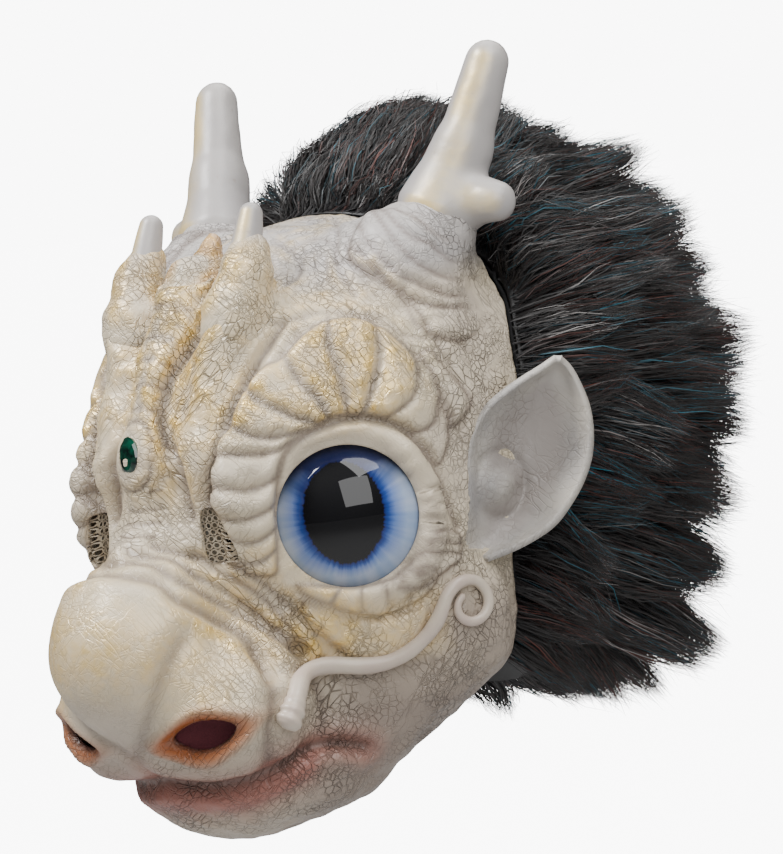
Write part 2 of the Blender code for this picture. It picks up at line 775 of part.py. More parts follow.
def ear_grid(columns, rows, grow=0.0):
    """The ear's inner face, its outline grown by a margin. At each height a row runs
    from the front rim to the back rim, sagging between them by the cup's depth times
    one minus the square of the place across."""
    heights = np.array([section.height for section in EAR_SECTIONS], float)
    at = np.interp(np.linspace(0, 1, rows), np.linspace(0, 1, len(heights)), heights)

    def column(name):
        values = [getattr(section, name) for section in EAR_SECTIONS]
        return np.interp(at, heights, values)[:, None] * MM

    across = unit(EAR_ACROSS)
    up = unit(EAR_UP - across * (EAR_UP @ across))
    facing = np.cross(across, up)
    place = np.linspace(-1, 1, columns)[None]
    front, back = column("front") - grow, column("back") + grow
    sideways = (front + back) / 2 + place * (back - front) / 2
    forward = column("forward") * (1 - place) / 2 - column("cup") * (1 - place**2)
    stretched = at * MM + grow * np.linspace(-1, 1, rows)
    height = np.repeat(stretched[:, None], columns, axis=1)
    return (
        EAR_ROOT
        + sideways[..., None] * across
        + height[..., None] * up
        + forward[..., None] * facing
    )


def make_ears(covers):
    """The ears: a cupped leaf with a 3 mm wall, its inner side cut to the head."""
    side = 9
    inner = ear_grid(side, side)
    outer = inner - EAR_WALL * outward(inner)
    points, faces = even_wall(inner, outer)
    for ear in on_both_sides("ear", points, faces, (0.45, 0.41, 0.37), 0.45):
        for cover in covers:
            trim(ear, cover)
    wide = ear_grid(side, side, EAR_CLEARANCE)
    square = outward(wide)
    points, faces = even_wall(
        wide + EAR_CLEARANCE * square, wide - (EAR_WALL + EAR_CLEARANCE) * square
    )
    return [
        cutter("round_ear_left", points, faces),
        cutter("round_ear_right", mirror_image(points), faces),
    ]


def whisker_path():
    """The whisker's middle line: a smooth curve through its run over the cheek, then
    a curl whose radius shrinks evenly, all of it drawn in to lie on the skin."""
    run = np.array(WHISKER_RUN, float) * MM
    centre = np.array(WHISKER_CURL_CENTRE, float) * MM
    steps = 26
    turn = np.linspace(0, 1, steps)
    angle = np.radians(WHISKER_CURL_START - 360 * WHISKER_CURL_TURNS * turn)
    radius = (WHISKER_CURL_RADII[0] + (WHISKER_CURL_RADII[1] - WHISKER_CURL_RADII[0]) * turn) * MM
    back = unit(np.array((0.25, 0.97, 0.0)))
    curl = centre + (radius * np.cos(angle))[:, None] * back
    curl[:, 2] += radius * np.sin(angle)
    route = np.concatenate([run, curl])
    for _ in range(3):
        route[1:-1] = (route[:-2] + 2 * route[1:-1] + route[2:]) / 4
    lengths = np.linalg.norm(np.diff(route, axis=0), axis=1)
    along = np.concatenate([[0], np.cumsum(lengths)])
    even = np.linspace(0, along[-1], WHISKER_RINGS)
    path = np.stack([np.interp(even, along, axis) for axis in route.T], axis=-1)
    radii = np.interp(even / even[-1], (0, 0.6, 1), WHISKER_RADII) * MM
    for _ in range(6):
        value, gradient = slope(path, RELIEF_FORMS)
        drift = (value - WHISKER_LIFT * radii)[:, None] * gradient
        path = path - drift / (gradient**2).sum(-1, keepdims=True)
    return path, radii


def make_whiskers(cover):
    """The curled barbels, flattened where they lie on the skin."""
    path, radii = whisker_path()
    points, faces = carried_tube(path, radii, WHISKER_SIDES)
    for whisker in on_both_sides("whisker", points, faces, (0.56, 0.53, 0.46), 0.4):
        trim(whisker, cover)


def make_nostril_cloths(hollow):
    """The cloth behind each nostril: a lens cut to the inner face of the skin."""
    plug = cutter("inside_skin", *hollow)
    centre = NOSTRIL_CENTRE - NOSTRIL_CLOTH_SINK * unit(NOSTRIL_OUT)
    points, faces = placed_ball(centre, NOSTRIL_OUT, NOSTRIL_CLOTH_SIZE)
    for cloth in on_both_sides("nostril_cloth", points, faces, (0.2, 0.04, 0.04), 0.9):
        trim(cloth, plug, "INTERSECT")


def hood_grid(cells):
    """The hood's outer face, on the same form as the skin, set back from its edge."""
    heart = np.array((0.0, 35.0, -100.0)) * MM
    edge = np.array(SKIN_TO_HOOD + NAPE, float)
    edge[:, 1] += SEAM_SETBACK / MM
    return laid_patch(edge, (0, 1, -0.1), heart, SKULL_FORMS, cells, HOOD_DRIFTS), heart


def make_hood(cover):
    """The cloth hood, cut to the edge of the skin that it is sewn to, and the body
    that trims what stands over it."""
    outer, _ = hood_grid(HOOD_CELLS)
    away = -outward(outer)
    points, faces = even_wall(outer, outer - CLOTH_WALL * away)
    trim(solid("hood", points, faces, (0.03, 0.03, 0.035), 0.9), cover)
    return cutter("over_hood", *filled(outer + SEAT_GAP * away, FRONT_HEART))


def make_mane(keep_off):
    """The fur: a base that thickens from the hood's front edge to its own outer form,
    and hangs full at the nape, with rings of tapering locks joined to it."""
    root, heart = hood_grid(HOOD_CELLS)
    away = -outward(root)
    inner = root + 2 * SEAT_GAP * away
    rays = unit(root - heart)
    full = outermost(heart, rays, MANE_FORMS)
    depth = ((full - root) * rays).sum(-1)
    radius, _ = round_square(HOOD_CELLS)
    most = MANE_LEAST + MANE_RISE * (1 - radius)
    most = most + NAPE_RISE * np.maximum(NAPE_TOP - root[..., 2], 0)
    depth = np.clip(depth, MANE_LEAST, most)
    outer = root + depth[..., None] * rays
    points, faces = even_wall(outer, inner)
    mane = solid("mane", points, faces, (0.045, 0.045, 0.05), 0.75)
    for number, (points, faces) in enumerate(locks()):
        trim(mane, cutter(f"lock_{number}", points, faces), "UNION")
    for body in keep_off:
        trim(mane, body)


def locks():
    """The locks on both sides of the mane. Each leaves its form square to it, is drawn
    back, droops as it goes, and tapers to a point."""
    found = []
    for ring in LOCK_RINGS:
        turns = np.linspace(LOCK_LOWEST_TURN, LOCK_HIGHEST_TURN, ring.count)
        for number, turn in enumerate(np.radians(turns)):
            tilt = np.radians(ring.tilt)
            ray = np.array(
                (np.sin(tilt) * np.cos(turn), np.cos(tilt), np.sin(tilt) * np.sin(turn))
            )
            root = outermost(LOCK_HEART, ray[None], MANE_FORMS)[0]
            along = unit(ray + LOCK_SWEEP)
            across = unit(np.cross(along, (0.0, 0.0, 1.0)))
            upright = np.cross(across, along)
            length = ring.length * MM * (1.0 + 0.12 * np.cos(2.4 * number + ring.tilt))
            part = np.linspace(0, 1, 4)[:, None]
            path = root - LOCK_SINK * along + (length * part) * along
            path[:, 2] -= LOCK_DROOP * part[:, 0] ** 2
            width = ring.width * MM * np.array((0.8, 1.0, 0.8, 0.32))
            angle = np.arange(5) * 2 * np.pi / 5
            about = np.cos(angle)[:, None] * across + 0.5 * np.sin(angle)[:, None] * upright
            rings = [place + size / 2 * about for place, size in zip(path, width)]
            tip = path[-1] + 10 * MM * along
            points, faces = ringed(rings, path[0] - 2 * MM * along, tip)
            found += [(points, faces), (mirror_image(points), faces)]
    return found


def make_mask():
    """Every piece, from the skin outwards."""
    clear_scene()
    over_skin, hollow = make_face()
    over_hood = make_hood(over_skin)
    make_nostril_cloths(hollow)
    make_windows()
    make_eyes()
    make_gem()
    round_horns = make_horns((over_skin, over_hood))
    make_spikes(over_skin)
    round_ears = make_ears((over_skin, over_hood))
    make_whiskers(over_skin)
    make_mane([over_skin, over_hood, *round_horns, *round_ears])


make_mask()
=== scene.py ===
"""Dragon mask for stage wear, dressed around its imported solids.

The mask is made in the order in which a mask maker works: the picture's set first, then
the cast skin, its horns, spikes, ears and whiskers, its eyes, stone and window nets, the
cloth hood, and the fur last. Tables are in millimetres, and MM turns them into metres.
They give the mask's left side, where X is positive, and the right side mirrors it.
"""

from collections import namedtuple

import bpy
import numpy as np
from mathutils import Matrix


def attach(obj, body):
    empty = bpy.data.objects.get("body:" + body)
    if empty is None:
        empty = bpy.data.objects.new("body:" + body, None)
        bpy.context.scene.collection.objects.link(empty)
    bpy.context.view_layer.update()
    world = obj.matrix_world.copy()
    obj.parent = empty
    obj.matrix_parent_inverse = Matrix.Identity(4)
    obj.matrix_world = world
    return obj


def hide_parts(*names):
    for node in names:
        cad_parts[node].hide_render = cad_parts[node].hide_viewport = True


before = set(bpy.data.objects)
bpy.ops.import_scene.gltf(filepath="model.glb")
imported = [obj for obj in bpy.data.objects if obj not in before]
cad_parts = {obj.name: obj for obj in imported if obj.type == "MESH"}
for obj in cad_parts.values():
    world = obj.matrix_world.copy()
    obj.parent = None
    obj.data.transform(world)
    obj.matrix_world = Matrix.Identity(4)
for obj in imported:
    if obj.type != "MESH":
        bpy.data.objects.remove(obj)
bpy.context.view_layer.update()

MM = 0.001

# The set: a pale floor well below the mask, which hangs at head height, and soft
# panels of light round it. The camera stands 1.8 m away, a little above the eyes, and
# leans 8 degrees, so that the mask's brow falls to the left of the picture.
TURN, RISE, LEAN = np.radians((45.0, 4.0, 8.0))
AIM = np.array((71.6, -19.9, -89.3)) * MM
CAMERA_DISTANCE = 1.8
PICTURE_SIDE = 36.0
LENS = 176.8
FLOOR_HEIGHT = -0.62
FLOOR_SIDE = 60.0


def set_up_camera():
    """The camera looks down its own -Z. Its sideways and upward axes are those of a
    level camera at this turn and rise, turned by the lean."""
    back = np.array((np.sin(TURN) * np.cos(RISE), -np.cos(TURN) * np.cos(RISE), np.sin(RISE)))
    level = np.array((np.cos(TURN), np.sin(TURN), 0.0))
    upright = np.cross(back, level)
    sideways = level * np.cos(LEAN) - upright * np.sin(LEAN)
    upward = level * np.sin(LEAN) + upright * np.cos(LEAN)
    data = bpy.data.cameras.new("picture_camera")
    data.sensor_width = PICTURE_SIDE
    data.lens = LENS
    camera = bpy.data.objects.new("picture_camera", data)
    place = Matrix(np.column_stack([sideways, upward, back]).tolist()).to_4x4()
    place.translation = AIM + CAMERA_DISTANCE * back
    camera.matrix_world = place
    bpy.context.scene.collection.objects.link(camera)
    bpy.context.scene.camera = camera


# A soft panel of light: the direction that it stands in, how far, how wide, its power.
# The backdrop is lit on its own, and gloss mirrors little of the room besides the panels.
ROOM_LIGHT = 0.48
ROOM_MIRRORED = 0.12
BACKDROP_LIGHT = 9.0
Panel = namedtuple("Panel", "name turn rise distance width power")

PANELS = (
    Panel("front_panel", 60, 31, 1.5, 0.95, 13),
    Panel("side_panel", 92, 64, 1.5, 0.8, 15),
    Panel("key_panel", -32, 56, 1.5, 0.5, 34),
    Panel("rear_panel", 200, 60, 1.5, 0.9, 9),
)


def set_up_lights():
    """Each panel stands on a sphere about the mask and faces its centre."""
    for panel in PANELS:
        turn, rise = np.radians((panel.turn, panel.rise))
        away = np.array(
            (np.sin(turn) * np.cos(rise), -np.cos(turn) * np.cos(rise), np.sin(rise))
        )
        data = bpy.data.lights.new(panel.name, "AREA")
        data.shape = "SQUARE"
        data.size = panel.width
        data.energy = panel.power
        lamp = bpy.data.objects.new(panel.name, data)
        side = np.cross((0.0, 0.0, 1.0), away)
        side /= np.linalg.norm(side)
        place = Matrix(np.column_stack([side, np.cross(away, side), away]).tolist()).to_4x4()
        place.translation = AIM + panel.distance * away
        lamp.matrix_world = place
        bpy.context.scene.collection.objects.link(lamp)
    world = bpy.data.worlds.new("pale_room")
    world.use_nodes = True
    nodes, links = world.node_tree.nodes, world.node_tree.links
    nodes["Background"].inputs["Color"].default_value = (1, 1, 1, 1)
    rays = nodes.new("ShaderNodeLightPath")
    seen = nodes.new("ShaderNodeMapRange")
    seen.inputs["To Min"].default_value = ROOM_LIGHT
    seen.inputs["To Max"].default_value = BACKDROP_LIGHT
    links.new(rays.outputs["Is Camera Ray"], seen.inputs["Value"])
    mirrored_room = nodes.new("ShaderNodeMapRange")
    mirrored_room.inputs["To Min"].default_value = 1.0
    mirrored_room.inputs["To Max"].default_value = ROOM_MIRRORED
    links.new(rays.outputs["Is Glossy Ray"], mirrored_room.inputs["Value"])
    strength = nodes.new("ShaderNodeMath")
    strength.operation = "MULTIPLY"
    links.new(seen.outputs[0], strength.inputs[0])
    links.new(mirrored_room.outputs[0], strength.inputs[1])
    links.new(strength.outputs[0], nodes["Background"].inputs["Strength"])
    bpy.context.scene.world = world


def set_up_floor():
    """One flat sheet, pale and matte, lit from within as the room's wall is."""
    half = FLOOR_SIDE / 2
    corners = [(-half, -half), (half, -half), (half, half), (-half, half)]
    mesh = bpy.data.meshes.new("floor")
    mesh.from_pydata([(x, y, FLOOR_HEIGHT) for x, y in corners], [], [(0, 1, 2, 3)])
    material = bpy.data.materials.new("floor_paint")
    material.use_nodes = True
    shader = material.node_tree.nodes["Principled BSDF"]
    shader.inputs["Base Color"].default_value = (0.45, 0.45, 0.45, 1)
    shader.inputs["Roughness"].default_value = 0.9
    shader.inputs["Emission Color"].default_value = (1, 1, 1, 1)
    rays = material.node_tree.nodes.new("ShaderNodeLightPath")
    lit = material.node_tree.nodes.new("ShaderNodeMath")
    lit.operation = "MULTIPLY"
    lit.inputs[1].default_value = BACKDROP_LIGHT
    material.node_tree.links.new(rays.outputs["Is Camera Ray"], lit.inputs[0])
    material.node_tree.links.new(lit.outputs[0], shader.inputs["Emission Strength"])
    mesh.materials.append(material)
    floor = bpy.data.objects.new("floor", mesh)
    bpy.context.scene.collection.objects.link(floor)


set_up_camera()
set_up_lights()
set_up_floor()


# The cast skin: one slush-cast latex shell, 3 mm thick, open at the back and under the
# jaw. Its sculpted form is a smooth union of balls and limbs, and the brow pads, folds
# and creases are raised and cut on that form, square to it. It is painted over in
# pearl, gold and grey. Its gold on the brow, the nose and what stands proud is also a
# painted highlight, and painted shade darkens its creases, its chin and its cheeks.
SKIN_WALL = 3.0 * MM
EYE_CENTRE = np.array((73.2, -54.8, -122.3)) * MM
EYE_OUT = np.array((0.7054, -0.7054, 0.0700))
EYE_HOLE_RADIUS = 30.2 * MM
EYE_SEAT_DEPTH = 12.0 * MM
FACE_CELLS = 36
FACE_DRIFTS = 40
FACE_HEART = np.array((0.0, -25.0, -112.0)) * MM
EDGE_STEPS = 30

# A form is a ball (an ellipsoid of three radii), a limb (a tapered rod with round ends
# and two radii), or a ball or ring set square to the eye. Reach is how far round it
# the form melts into those above it.
Form = namedtuple("Form", "name kind at to size reach")

SKULL_FORMS = (
    Form("skull", "ball", (0, 18, -85), None, (101, 108, 88), 0),
    Form("cheeks", "ball", (0, -2, -150), None, (94, 84, 74), 30),
)

FACE_FORMS = SKULL_FORMS + (
    Form("orbit", "eye ball", (0, -3, -28), None, (50, 46, 28), 14),
    Form("inner brow", "ball", (43, -60, -116), None, (14, 40, 50), 14),
    Form("nose root", "ball", (0, -52, -112), None, (44, 42, 60), 14),
    Form("bridge", "limb", (0, -80, -132), (0, -116, -158), (26, 30), 20),
    Form("nose ball", "ball", (0, -120, -168), None, (38, 36, 35.5), 12),
    Form("nostril wing", "ball", (33, -100, -197), None, (30, 30, 28), 16),
    Form("muzzle", "limb", (0, -88, -190), (0, -20, -165), (42, 68), 20),
    Form("chin", "ball", (0, -66, -224), None, (52, 48, 35), 8),
    Form("jaw side", "limb", (38, -40, -216), (74, 0, -180), (27, 24), 24),
)

RELIEF_FORMS = FACE_FORMS + (
    Form("lid", "eye ring", (0, 0, -3), None, (36, 5), 5),
    Form("lower middle plate", "limb", (0, -93, -140), (0, -97, -88), (9, 10), 10),
    Form("upper middle plate", "limb", (0, -97, -88), (0, -60, -15), (10, 9), 10),
    Form("lower brow ridge", "limb", (23, -90, -140), (25, -88, -90), (9, 11), 8),
    Form("upper brow ridge", "limb", (25, -88, -90), (33, -64, -30), (11, 11.6), 8),
    Form("horn mound", "limb", (60, 10, -22), (70, 26, -7), (25, 18.5), 20),
)

# The edge where skin meets hood, from the middle of the crown down the left side,
# behind the horn and the ear, to the back of the jaw, and then the skin's own edge
# under the chin.
Place = namedtuple("Place", "x y z")

SKIN_TO_HOOD = (
    Place(0, 22, 3),
    Place(28, 25, 2),
    Place(50, 40, -3),
    Place(71, 58, -17),
    Place(88, 52, -35),
    Place(97, 40, -55),
    Place(101, 33, -80),
    Place(102, 30, -108),
    Place(98, 27, -138),
    Place(93, 18, -168),
    Place(85, 9, -194),
)
THROAT = (
    Place(64, -12, -222),
    Place(36, -34, -244),
    Place(0, -44, -252),
)


def unit(vectors):
    """Vectors scaled to length one."""
    return vectors / np.linalg.norm(vectors, axis=-1, keepdims=True)


def square_to(out):
    """Two directions square to the one given: one level, one as upright as can be."""
    out = unit(np.asarray(out, float))
    across = unit(np.cross((0.0, 0.0, 1.0), out))
    return across, np.cross(out, across), out


def in_frame(points, centre, out):
    """Points given by how far across, up and out from a centre they lie."""
    return (points - centre) @ np.array(square_to(out)).T


def ball_distance(offset, radii):
    """Distance to an ellipsoid: k (k - 1) / m, with k and m the offset's length
    over the radii and over their squares."""
    k = np.linalg.norm(offset / radii, axis=-1)
    m = np.linalg.norm(offset / radii**2, axis=-1)
    return k * (k - 1) / np.maximum(m, 1e-9)


def limb_distance(points, start, end, radii):
    """Distance to a tapered rod: the distance to the nearest point of its middle
    line, less the radius there."""
    line = end - start
    along = np.clip((points - start) @ line / (line @ line), 0, 1)
    nearest = start + along[..., None] * line
    return np.linalg.norm(points - nearest, axis=-1) - radii[0] - (radii[1] - radii[0]) * along


def form_distance(form, points):
    """Distance to one row of a form table."""
    at = np.array(form.at, float) * MM
    size = np.array(form.size, float) * MM
    if form.kind == "limb":
        return limb_distance(points, at, np.array(form.to, float) * MM, size)
    if form.kind == "ball":
        return ball_distance(points - at, size)
    beside_eye = in_frame(points, EYE_CENTRE, EYE_OUT) - at
    if form.kind == "eye ball":
        return ball_distance(beside_eye, size)
    from_axis = np.hypot(beside_eye[..., 0], beside_eye[..., 1])
    return np.hypot(from_axis - size[0], beside_eye[..., 2]) - size[1]


def smooth_union(first, second, reach):
    """The lesser of two distances, rounded off by up to a quarter of reach where
    they are within reach of each other."""
    if not reach:
        return np.minimum(first, second)
    near = np.maximum(reach - np.abs(first - second), 0) / reach
    return np.minimum(first, second) - near**2 * reach / 4


def side_of(points):
    """(-1, 1, 1) for points on the mask's right side, (1, 1, 1) for the others."""
    return np.where(points[..., :1] < 0, (-1.0, 1.0, 1.0), (1.0, 1.0, 1.0))


def mirrored(points):
    """Points folded over to the mask's left side."""
    return points * side_of(points)


def distance(points, forms):
    """Distance to a whole table's surface, the same on both sides of the mask."""
    folded = mirrored(points)
    total = form_distance(forms[0], folded)
    for form in forms[1:]:
        total = smooth_union(total, form_distance(form, folded), form.reach * MM)
    return total


def slope(points, forms):
    """The distance's gradient, from steps of a twentieth of a millimetre."""
    step = 0.05 * MM
    here = distance(points, forms)
    ahead = [distance(points + step * axis, forms) for axis in np.eye(3)]
    return here, np.stack([(value - here) / step for value in ahead], axis=-1)


def settle(points, forms, level=0.0, rounds=5):
    """Points moved along the gradient until they lie level from the surface."""
    for _ in range(rounds):
        value, gradient = slope(points, forms)
        steepness = np.maximum((gradient**2).sum(-1, keepdims=True), 0.05)
        points = points - (value - level)[..., None] * gradient / steepness
    return points


def outermost(start, directions, forms, reach=0.26, step=0.002):
    """Where rays from inside last leave the surface: the farthest sample that is
    inside, then bisection."""
    lengths = np.arange(0, reach, step)
    inside = np.stack(
        [distance(start + length * directions, forms) < 0 for length in lengths], -1
    )
    near = lengths[len(lengths) - 1 - np.argmax(inside[..., ::-1], axis=-1)]
    far = near + step
    for _ in range(12):
        middle = (near + far) / 2
        value = distance(start + middle[..., None] * directions, forms)
        near = np.where(value < 0, middle, near)
        far = np.where(value < 0, far, middle)
    return start + near[..., None] * directions


def rounded(places, steps):
    """A smooth curve through places, by Catmull-Rom arcs of so many steps each. The
    first and last rows only steer it."""
    at = np.arange((len(places) - 3) * steps + 1) / steps
    index = np.minimum(at.astype(int), len(places) - 4)
    t = (at - index)[:, None]
    before, here, after, beyond = (places[index + shift] for shift in range(4))
    return 0.5 * (
        2 * here
        + (after - before) * t
        + (2 * before - 5 * here + 4 * after - beyond) * t**2
        + (3 * here - before - 3 * after + beyond) * t**3
    )


def closed_edge(places):
    """A smooth closed loop through places on the left side and their mirror images,
    with the fraction of its length at each sample."""
    left = np.array(places, float) * MM
    loop = np.concatenate([left, left[-2:0:-1] * (-1, 1, 1)])
    curve = rounded(np.concatenate([loop[-1:], loop, loop[:2]]), EDGE_STEPS)
    lengths = np.linalg.norm(np.diff(curve, axis=0), axis=1)
    fraction = np.concatenate([[0], np.cumsum(lengths)]) / lengths.sum()
    return curve, fraction


def round_square(cells):
    """A square grid bent to a disc: the radius is the ring's, the angle its place
    along the ring, as a turn from the top."""
    side = np.linspace(-1, 1, cells + 1)
    across, up = np.meshgrid(side, side)
    radius = np.maximum(np.abs(across), np.abs(up))
    safe_up = np.where(up == 0, 1, up)
    safe_across = np.where(across == 0, 1, across)
    beside = np.pi / 4 * up / safe_across
    above = np.pi / 2 - np.pi / 4 * across / safe_up
    sideways = np.abs(across) > np.abs(up)
    angle = np.where(sideways, beside, above)
    turned = np.where(sideways, across < 0, up < 0)
    angle = angle + np.where(turned, np.pi, 0)
    return radius, (0.25 - angle / (2 * np.pi)) % 1


def laid_patch(places, ahead, heart, forms, cells, drifts):
    """A square grid laid on a form inside a closed edge: each point is where a ray
    from the heart, turned from ahead towards the edge in step with its radius,
    leaves the form. Then points drift to the middle of their neighbours and back
    on to the form, which evens them out."""
    curve, fraction = closed_edge(places)
    radius, turn = round_square(cells)
    edge = np.stack([np.interp(turn, fraction, axis) for axis in curve.T], axis=-1)
    towards = unit(edge - heart)
    ahead = unit(np.array(ahead, float))
    angle = np.arccos(np.clip(towards @ ahead, -1, 1))[..., None]
    part = radius[..., None] * angle
    rays = (np.sin(angle - part) * ahead + np.sin(part) * towards) / np.sin(angle)
    points = outermost(heart, unit(rays), forms)
    for _ in range(drifts):
        middle = points[:-2, 1:-1] + points[2:, 1:-1] + points[1:-1, :-2] + points[1:-1, 2:]
        points[1:-1, 1:-1] = settle(middle / 4, forms, rounds=1)
    return settle(points, forms)


def halved(grid, times=1):
    """A grid with a new point between each two neighbours, at (9 near - far) / 16 of
    the four points around it, as often as asked."""
    for _ in range(2 * times):
        ends = [2 * grid[:1] - grid[1:2], grid, 2 * grid[-1:] - grid[-2:-1]]
        wide = np.concatenate(ends)
        between = (9 * (wide[1:-2] + wide[2:-1]) - wide[:-3] - wide[3:]) / 16
        finer = np.empty((2 * len(grid) - 1,) + grid.shape[1:])
        finer[::2] = grid
        finer[1::2] = between
        grid = finer.swapaxes(0, 1)
    return grid


def eased(value, low, high):
    """0 below low, 1 above high, and 3 t t - 2 t t t between them."""
    t = np.clip((value - low) / (high - low), 0, 1)
    return t * t * (3 - 2 * t)


def line_gap(points, corners):
    """The distance from points of a plane to a line drawn through corners. Points
    more than 16 mm outside the line's box are taken as far away."""
    corners = np.array(corners, float)
    near = ((points > corners.min(0) - 16) & (points < corners.max(0) + 16)).all(-1)
    gap = np.full(points.shape[:-1], 99.0)
    at = points[near]
    least = np.full(len(at), 99.0)
    for start, end in zip(corners[:-1], corners[1:]):
        line = end - start
        part = np.clip((at - start) @ line / (line @ line), 0, 1)
        least = np.minimum(least, np.linalg.norm(at - start - part[:, None] * line, axis=1))
    gap[near] = least
    return gap


def curved(corners):
    """The corners of a line, rounded off to a smooth curve."""
    corners = np.array(corners, float)
    first, last = 2 * corners[0] - corners[1], 2 * corners[-1] - corners[-2]
    return rounded(np.vstack([first, corners, last]), 4)


def inside_of(points, outline):
    """Whether points of a plane lie in a closed outline, by counting its crossings
    to the right of each."""
    crossings = np.zeros(points.shape[:-1], int)
    across, up = points[..., 0], points[..., 1]
    for (x0, y0), (x1, y1) in zip(outline, np.roll(outline, -1, axis=0)):
        if y0 != y1:
            spans = (up < max(y0, y1)) & (up >= min(y0, y1))
            crossings += spans & (across < x0 + (up - y0) * (x1 - x0) / (y1 - y0))
    return crossings % 2 == 1


# A pad is a swelling with an outline, parted by creases into smaller pads. Its height
# is reached a given way in from its edge. Places are in millimetres in the eye's own
# plane, across and up from the eye's centre.
Pad = namedtuple("Pad", "name height edge outline creases")

PADS = (
    Pad(
        "brow fan", 5.4, 5.5,
        (
            (21, 39), (31, 44), (36, 51), (37, 62), (30, 71), (22, 78), (13, 82), (2, 82),
            (-9, 78), (-18, 70), (-26, 67), (-34, 61), (-41, 52), (-44, 44), (-49, 38),
            (-50, 31), (-53, 26), (-53, 19), (-56, 12), (-55, 6), (-55, -1), (-51, -11),
            (-44, -18), (-34, -20), (-32, -12), (-31, 0), (-29, 12), (-26, 22), (-21, 31),
            (-11, 37), (-2, 42), (9, 42),
        ),
        (
            ((-18, 72), (-12, 58), (-6, 51), (-2, 42)),
            ((3, 84), (2, 71), (5, 58), (6, 41)),
            ((22, 80), (22, 65), (18, 54), (12, 41)),
            ((-36, 62), (-32, 54), (-25, 49), (-16, 44), (-6, 40)),
            ((-46, 46), (-37, 39), (-27, 37), (-11, 38)),
            ((-51, 32), (-38, 31), (-27, 31), (-18, 35)),
            ((-55, 21), (-45, 17), (-37, 17), (-26, 21)),
            ((-57, 8), (-47, 5), (-38, 6), (-28, 10)),
            ((-56, 0), (-44, -5), (-37, -4), (-30, 0)),
            ((-52, -12), (-41, -14), (-31, -9)),
        ),
    ),
    Pad(
        "temple pad", 3.6, 5.0,
        (
            (37, 62), (42, 58), (45, 50), (44, 41), (41, 34), (33, 31), (27, 34), (22, 39),
            (31, 44), (36, 51),
        ),
        (),
    ),
    Pad(
        "lower temple pad", 3.0, 4.5,
        ((44, 44), (47, 35), (47, 28), (45, 22), (40, 16), (36, 23), (31, 30), (40, 33)),
        (),
    ),
    Pad(
        "outer strip", 2.6, 4.0,
        (
            (39, 63), (44, 64), (51, 53), (58, 42), (53, 34), (49, 31), (48, 38), (45, 48),
            (42, 58),
        ),
        (),
    ),
    Pad(
        "outer corner", 2.4, 3.0,
        (
            (37, -11), (45, -14), (45, -24), (39, -28), (30, -32), (18, -33), (17, -28),
            (29, -20),
        ),
        (
            ((28, -20), (36, -20), (45, -23)),
            ((20, -25), (27, -27), (33, -32)),
            ((32, -15), (38, -16), (46, -19)),
        ),
    ),
    Pad(
        "lower lid", 2.8, 3.4,
        (
            (-26, -26), (-19, -27), (-7, -30), (4, -31), (17, -29), (29, -25), (34, -30),
            (29, -37), (21, -41), (9, -43), (-2, -41), (-13, -36), (-22, -31),
        ),
        (
            ((-6, -29), (-9, -32), (-13, -37)),
            ((3, -29), (1, -34), (0, -43)),
            ((10, -29), (12, -34), (11, -44)),
            ((18, -28), (21, -34), (21, -42)),
            ((25, -26), (30, -38)),
        ),
    ),
    Pad(
        "bag under the eye", 4.0, 9.0,
        (
            (-24, -33), (-13, -38), (-2, -43), (10, -45), (22, -43), (28, -42), (25, -53),
            (16, -62), (3, -64), (-11, -57), (-20, -48), (-25, -39),
        ),
        (),
    ),
    Pad(
        "horn folds", 3.2, 4.2,
        (
            (38, 127), (47, 121), (56, 112), (72, 108), (74, 88), (66, 70), (52, 68),
            (40, 76), (36, 88), (26, 98), (16, 108), (20, 120), (28, 128),
        ),
        (
            ((33, 127), (42, 114), (50, 110), (58, 102), (74, 101)),
            ((29, 127), (36, 112), (45, 101), (57, 94), (74, 95)),
            ((22, 122), (28, 109), (35, 99), (46, 92), (57, 86), (74, 88)),
            ((17, 113), (22, 109), (30, 97), (39, 88), (51, 82), (72, 80)),
            ((36, 92), (40, 84), (44, 74)),
        ),
    ),
)

# A crease is a groove drawn on the skin, with a soft lip on both sides.
Crease = namedtuple("Crease", "name depth width line")

